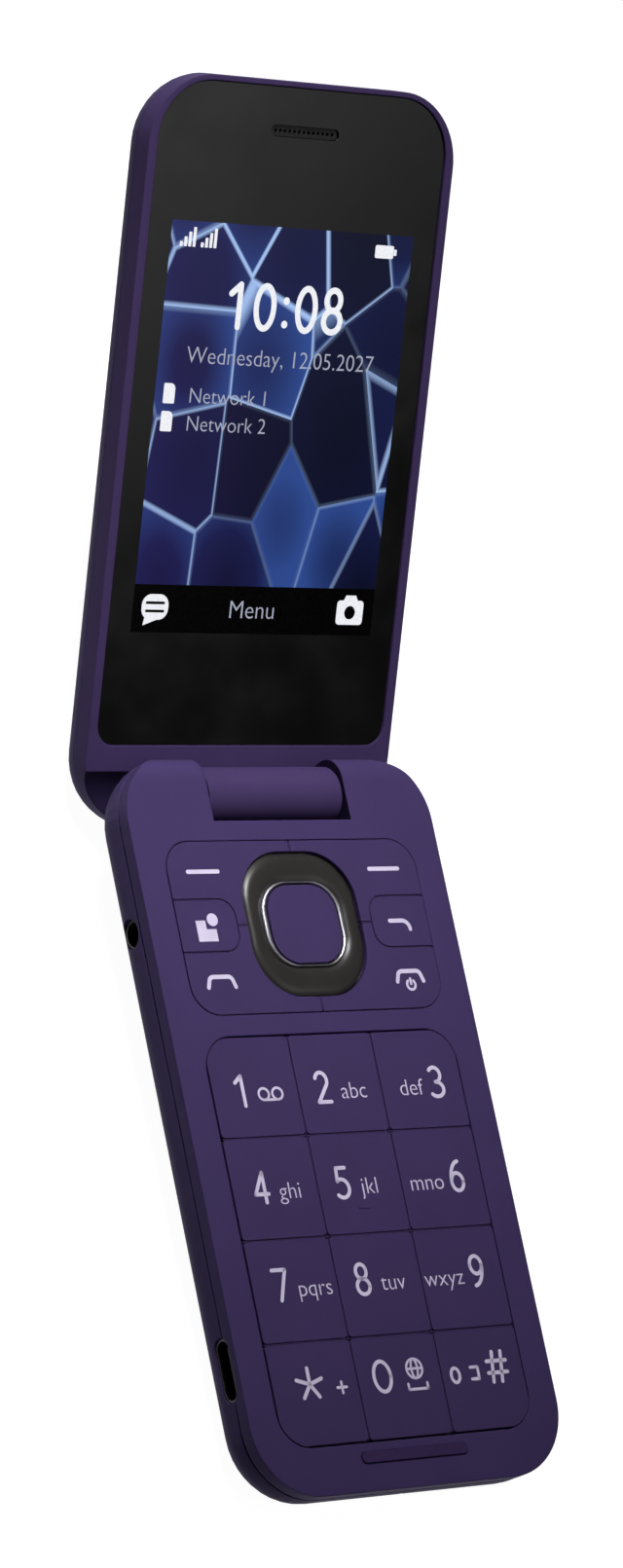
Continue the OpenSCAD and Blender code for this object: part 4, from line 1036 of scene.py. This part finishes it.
class PHONE_OT_inner_pieces(bpy.types.Operator):
    """Boards, battery, keypad layers, hinge and other pieces inside the shells"""
    bl_idname = "phone.inner_pieces"
    bl_label = "Inner pieces"

    def execute(self, context):
        edge = sizes().small_edge
        dress(["main_board", "lid_board"], solder_mask(), edge)
        dress(["keypad_flex", "hinge_flex"], polyimide_film(), edge)
        dress(["keypad_mat"], silicone_mat(), edge)
        dress(["backlight"], light_guide(), edge)
        dress(["display_panel"], panel_glass(), edge)
        dress(["battery"], battery_film(), edge)
        dress(["battery_contacts", "antenna"], gold_plating(), edge)
        dress(["loudspeaker"], black_polymer(), edge)
        dress(["shield", "sim_holder", "vibration_motor", "microphone", "base_screws", "lid_screws",
               "hinge_shaft", "pivot_pin", "hinge_can", "hinge_spring", "nav_web"], stainless_steel(), edge)
        return {"FINISHED"}


class PHONE_PT_panel(bpy.types.Panel):
    """Sizes, colours and pieces of the phone"""
    bl_label = "Flip phone"
    bl_idname = "PHONE_PT_panel"
    bl_space_type = "VIEW_3D"
    bl_region_type = "UI"
    bl_category = "Phone"

    def draw(self, context):
        for group in (context.scene.phone_sizes, context.scene.phone_colours):
            for name in group.__annotations__:
                self.layout.prop(group, name)
        for operator in OPERATORS:
            self.layout.operator(operator.bl_idname)


OPERATORS = (PHONE_OT_stage, PHONE_OT_shells, PHONE_OT_keys, PHONE_OT_navigation, PHONE_OT_legends,
             PHONE_OT_screen, PHONE_OT_ports, PHONE_OT_lid_back, PHONE_OT_inner_pieces)
CLASSES = (PhoneSizes, PhoneColours) + OPERATORS + (PHONE_PT_panel,)


def register():
    """Registers the classes, and hangs sizes and colours on the scene."""
    for item in CLASSES:
        bpy.utils.register_class(item)
    bpy.types.Scene.phone_sizes = bpy.props.PointerProperty(type=PhoneSizes)
    bpy.types.Scene.phone_colours = bpy.props.PointerProperty(type=PhoneColours)


def unregister():
    """Takes sizes and colours off the scene, and the classes away."""
    del bpy.types.Scene.phone_colours
    del bpy.types.Scene.phone_sizes
    for item in reversed(CLASSES):
        bpy.utils.unregister_class(item)


def main():
    """Builds everything in order."""
    register()
    bpy.ops.phone.stage()
    bpy.ops.phone.shells()
    bpy.ops.phone.keys()
    bpy.ops.phone.navigation()
    bpy.ops.phone.legends()
    bpy.ops.phone.screen()
    bpy.ops.phone.ports()
    bpy.ops.phone.lid_back()
    bpy.ops.phone.inner_pieces()


if __name__ == "__main__":
    main()
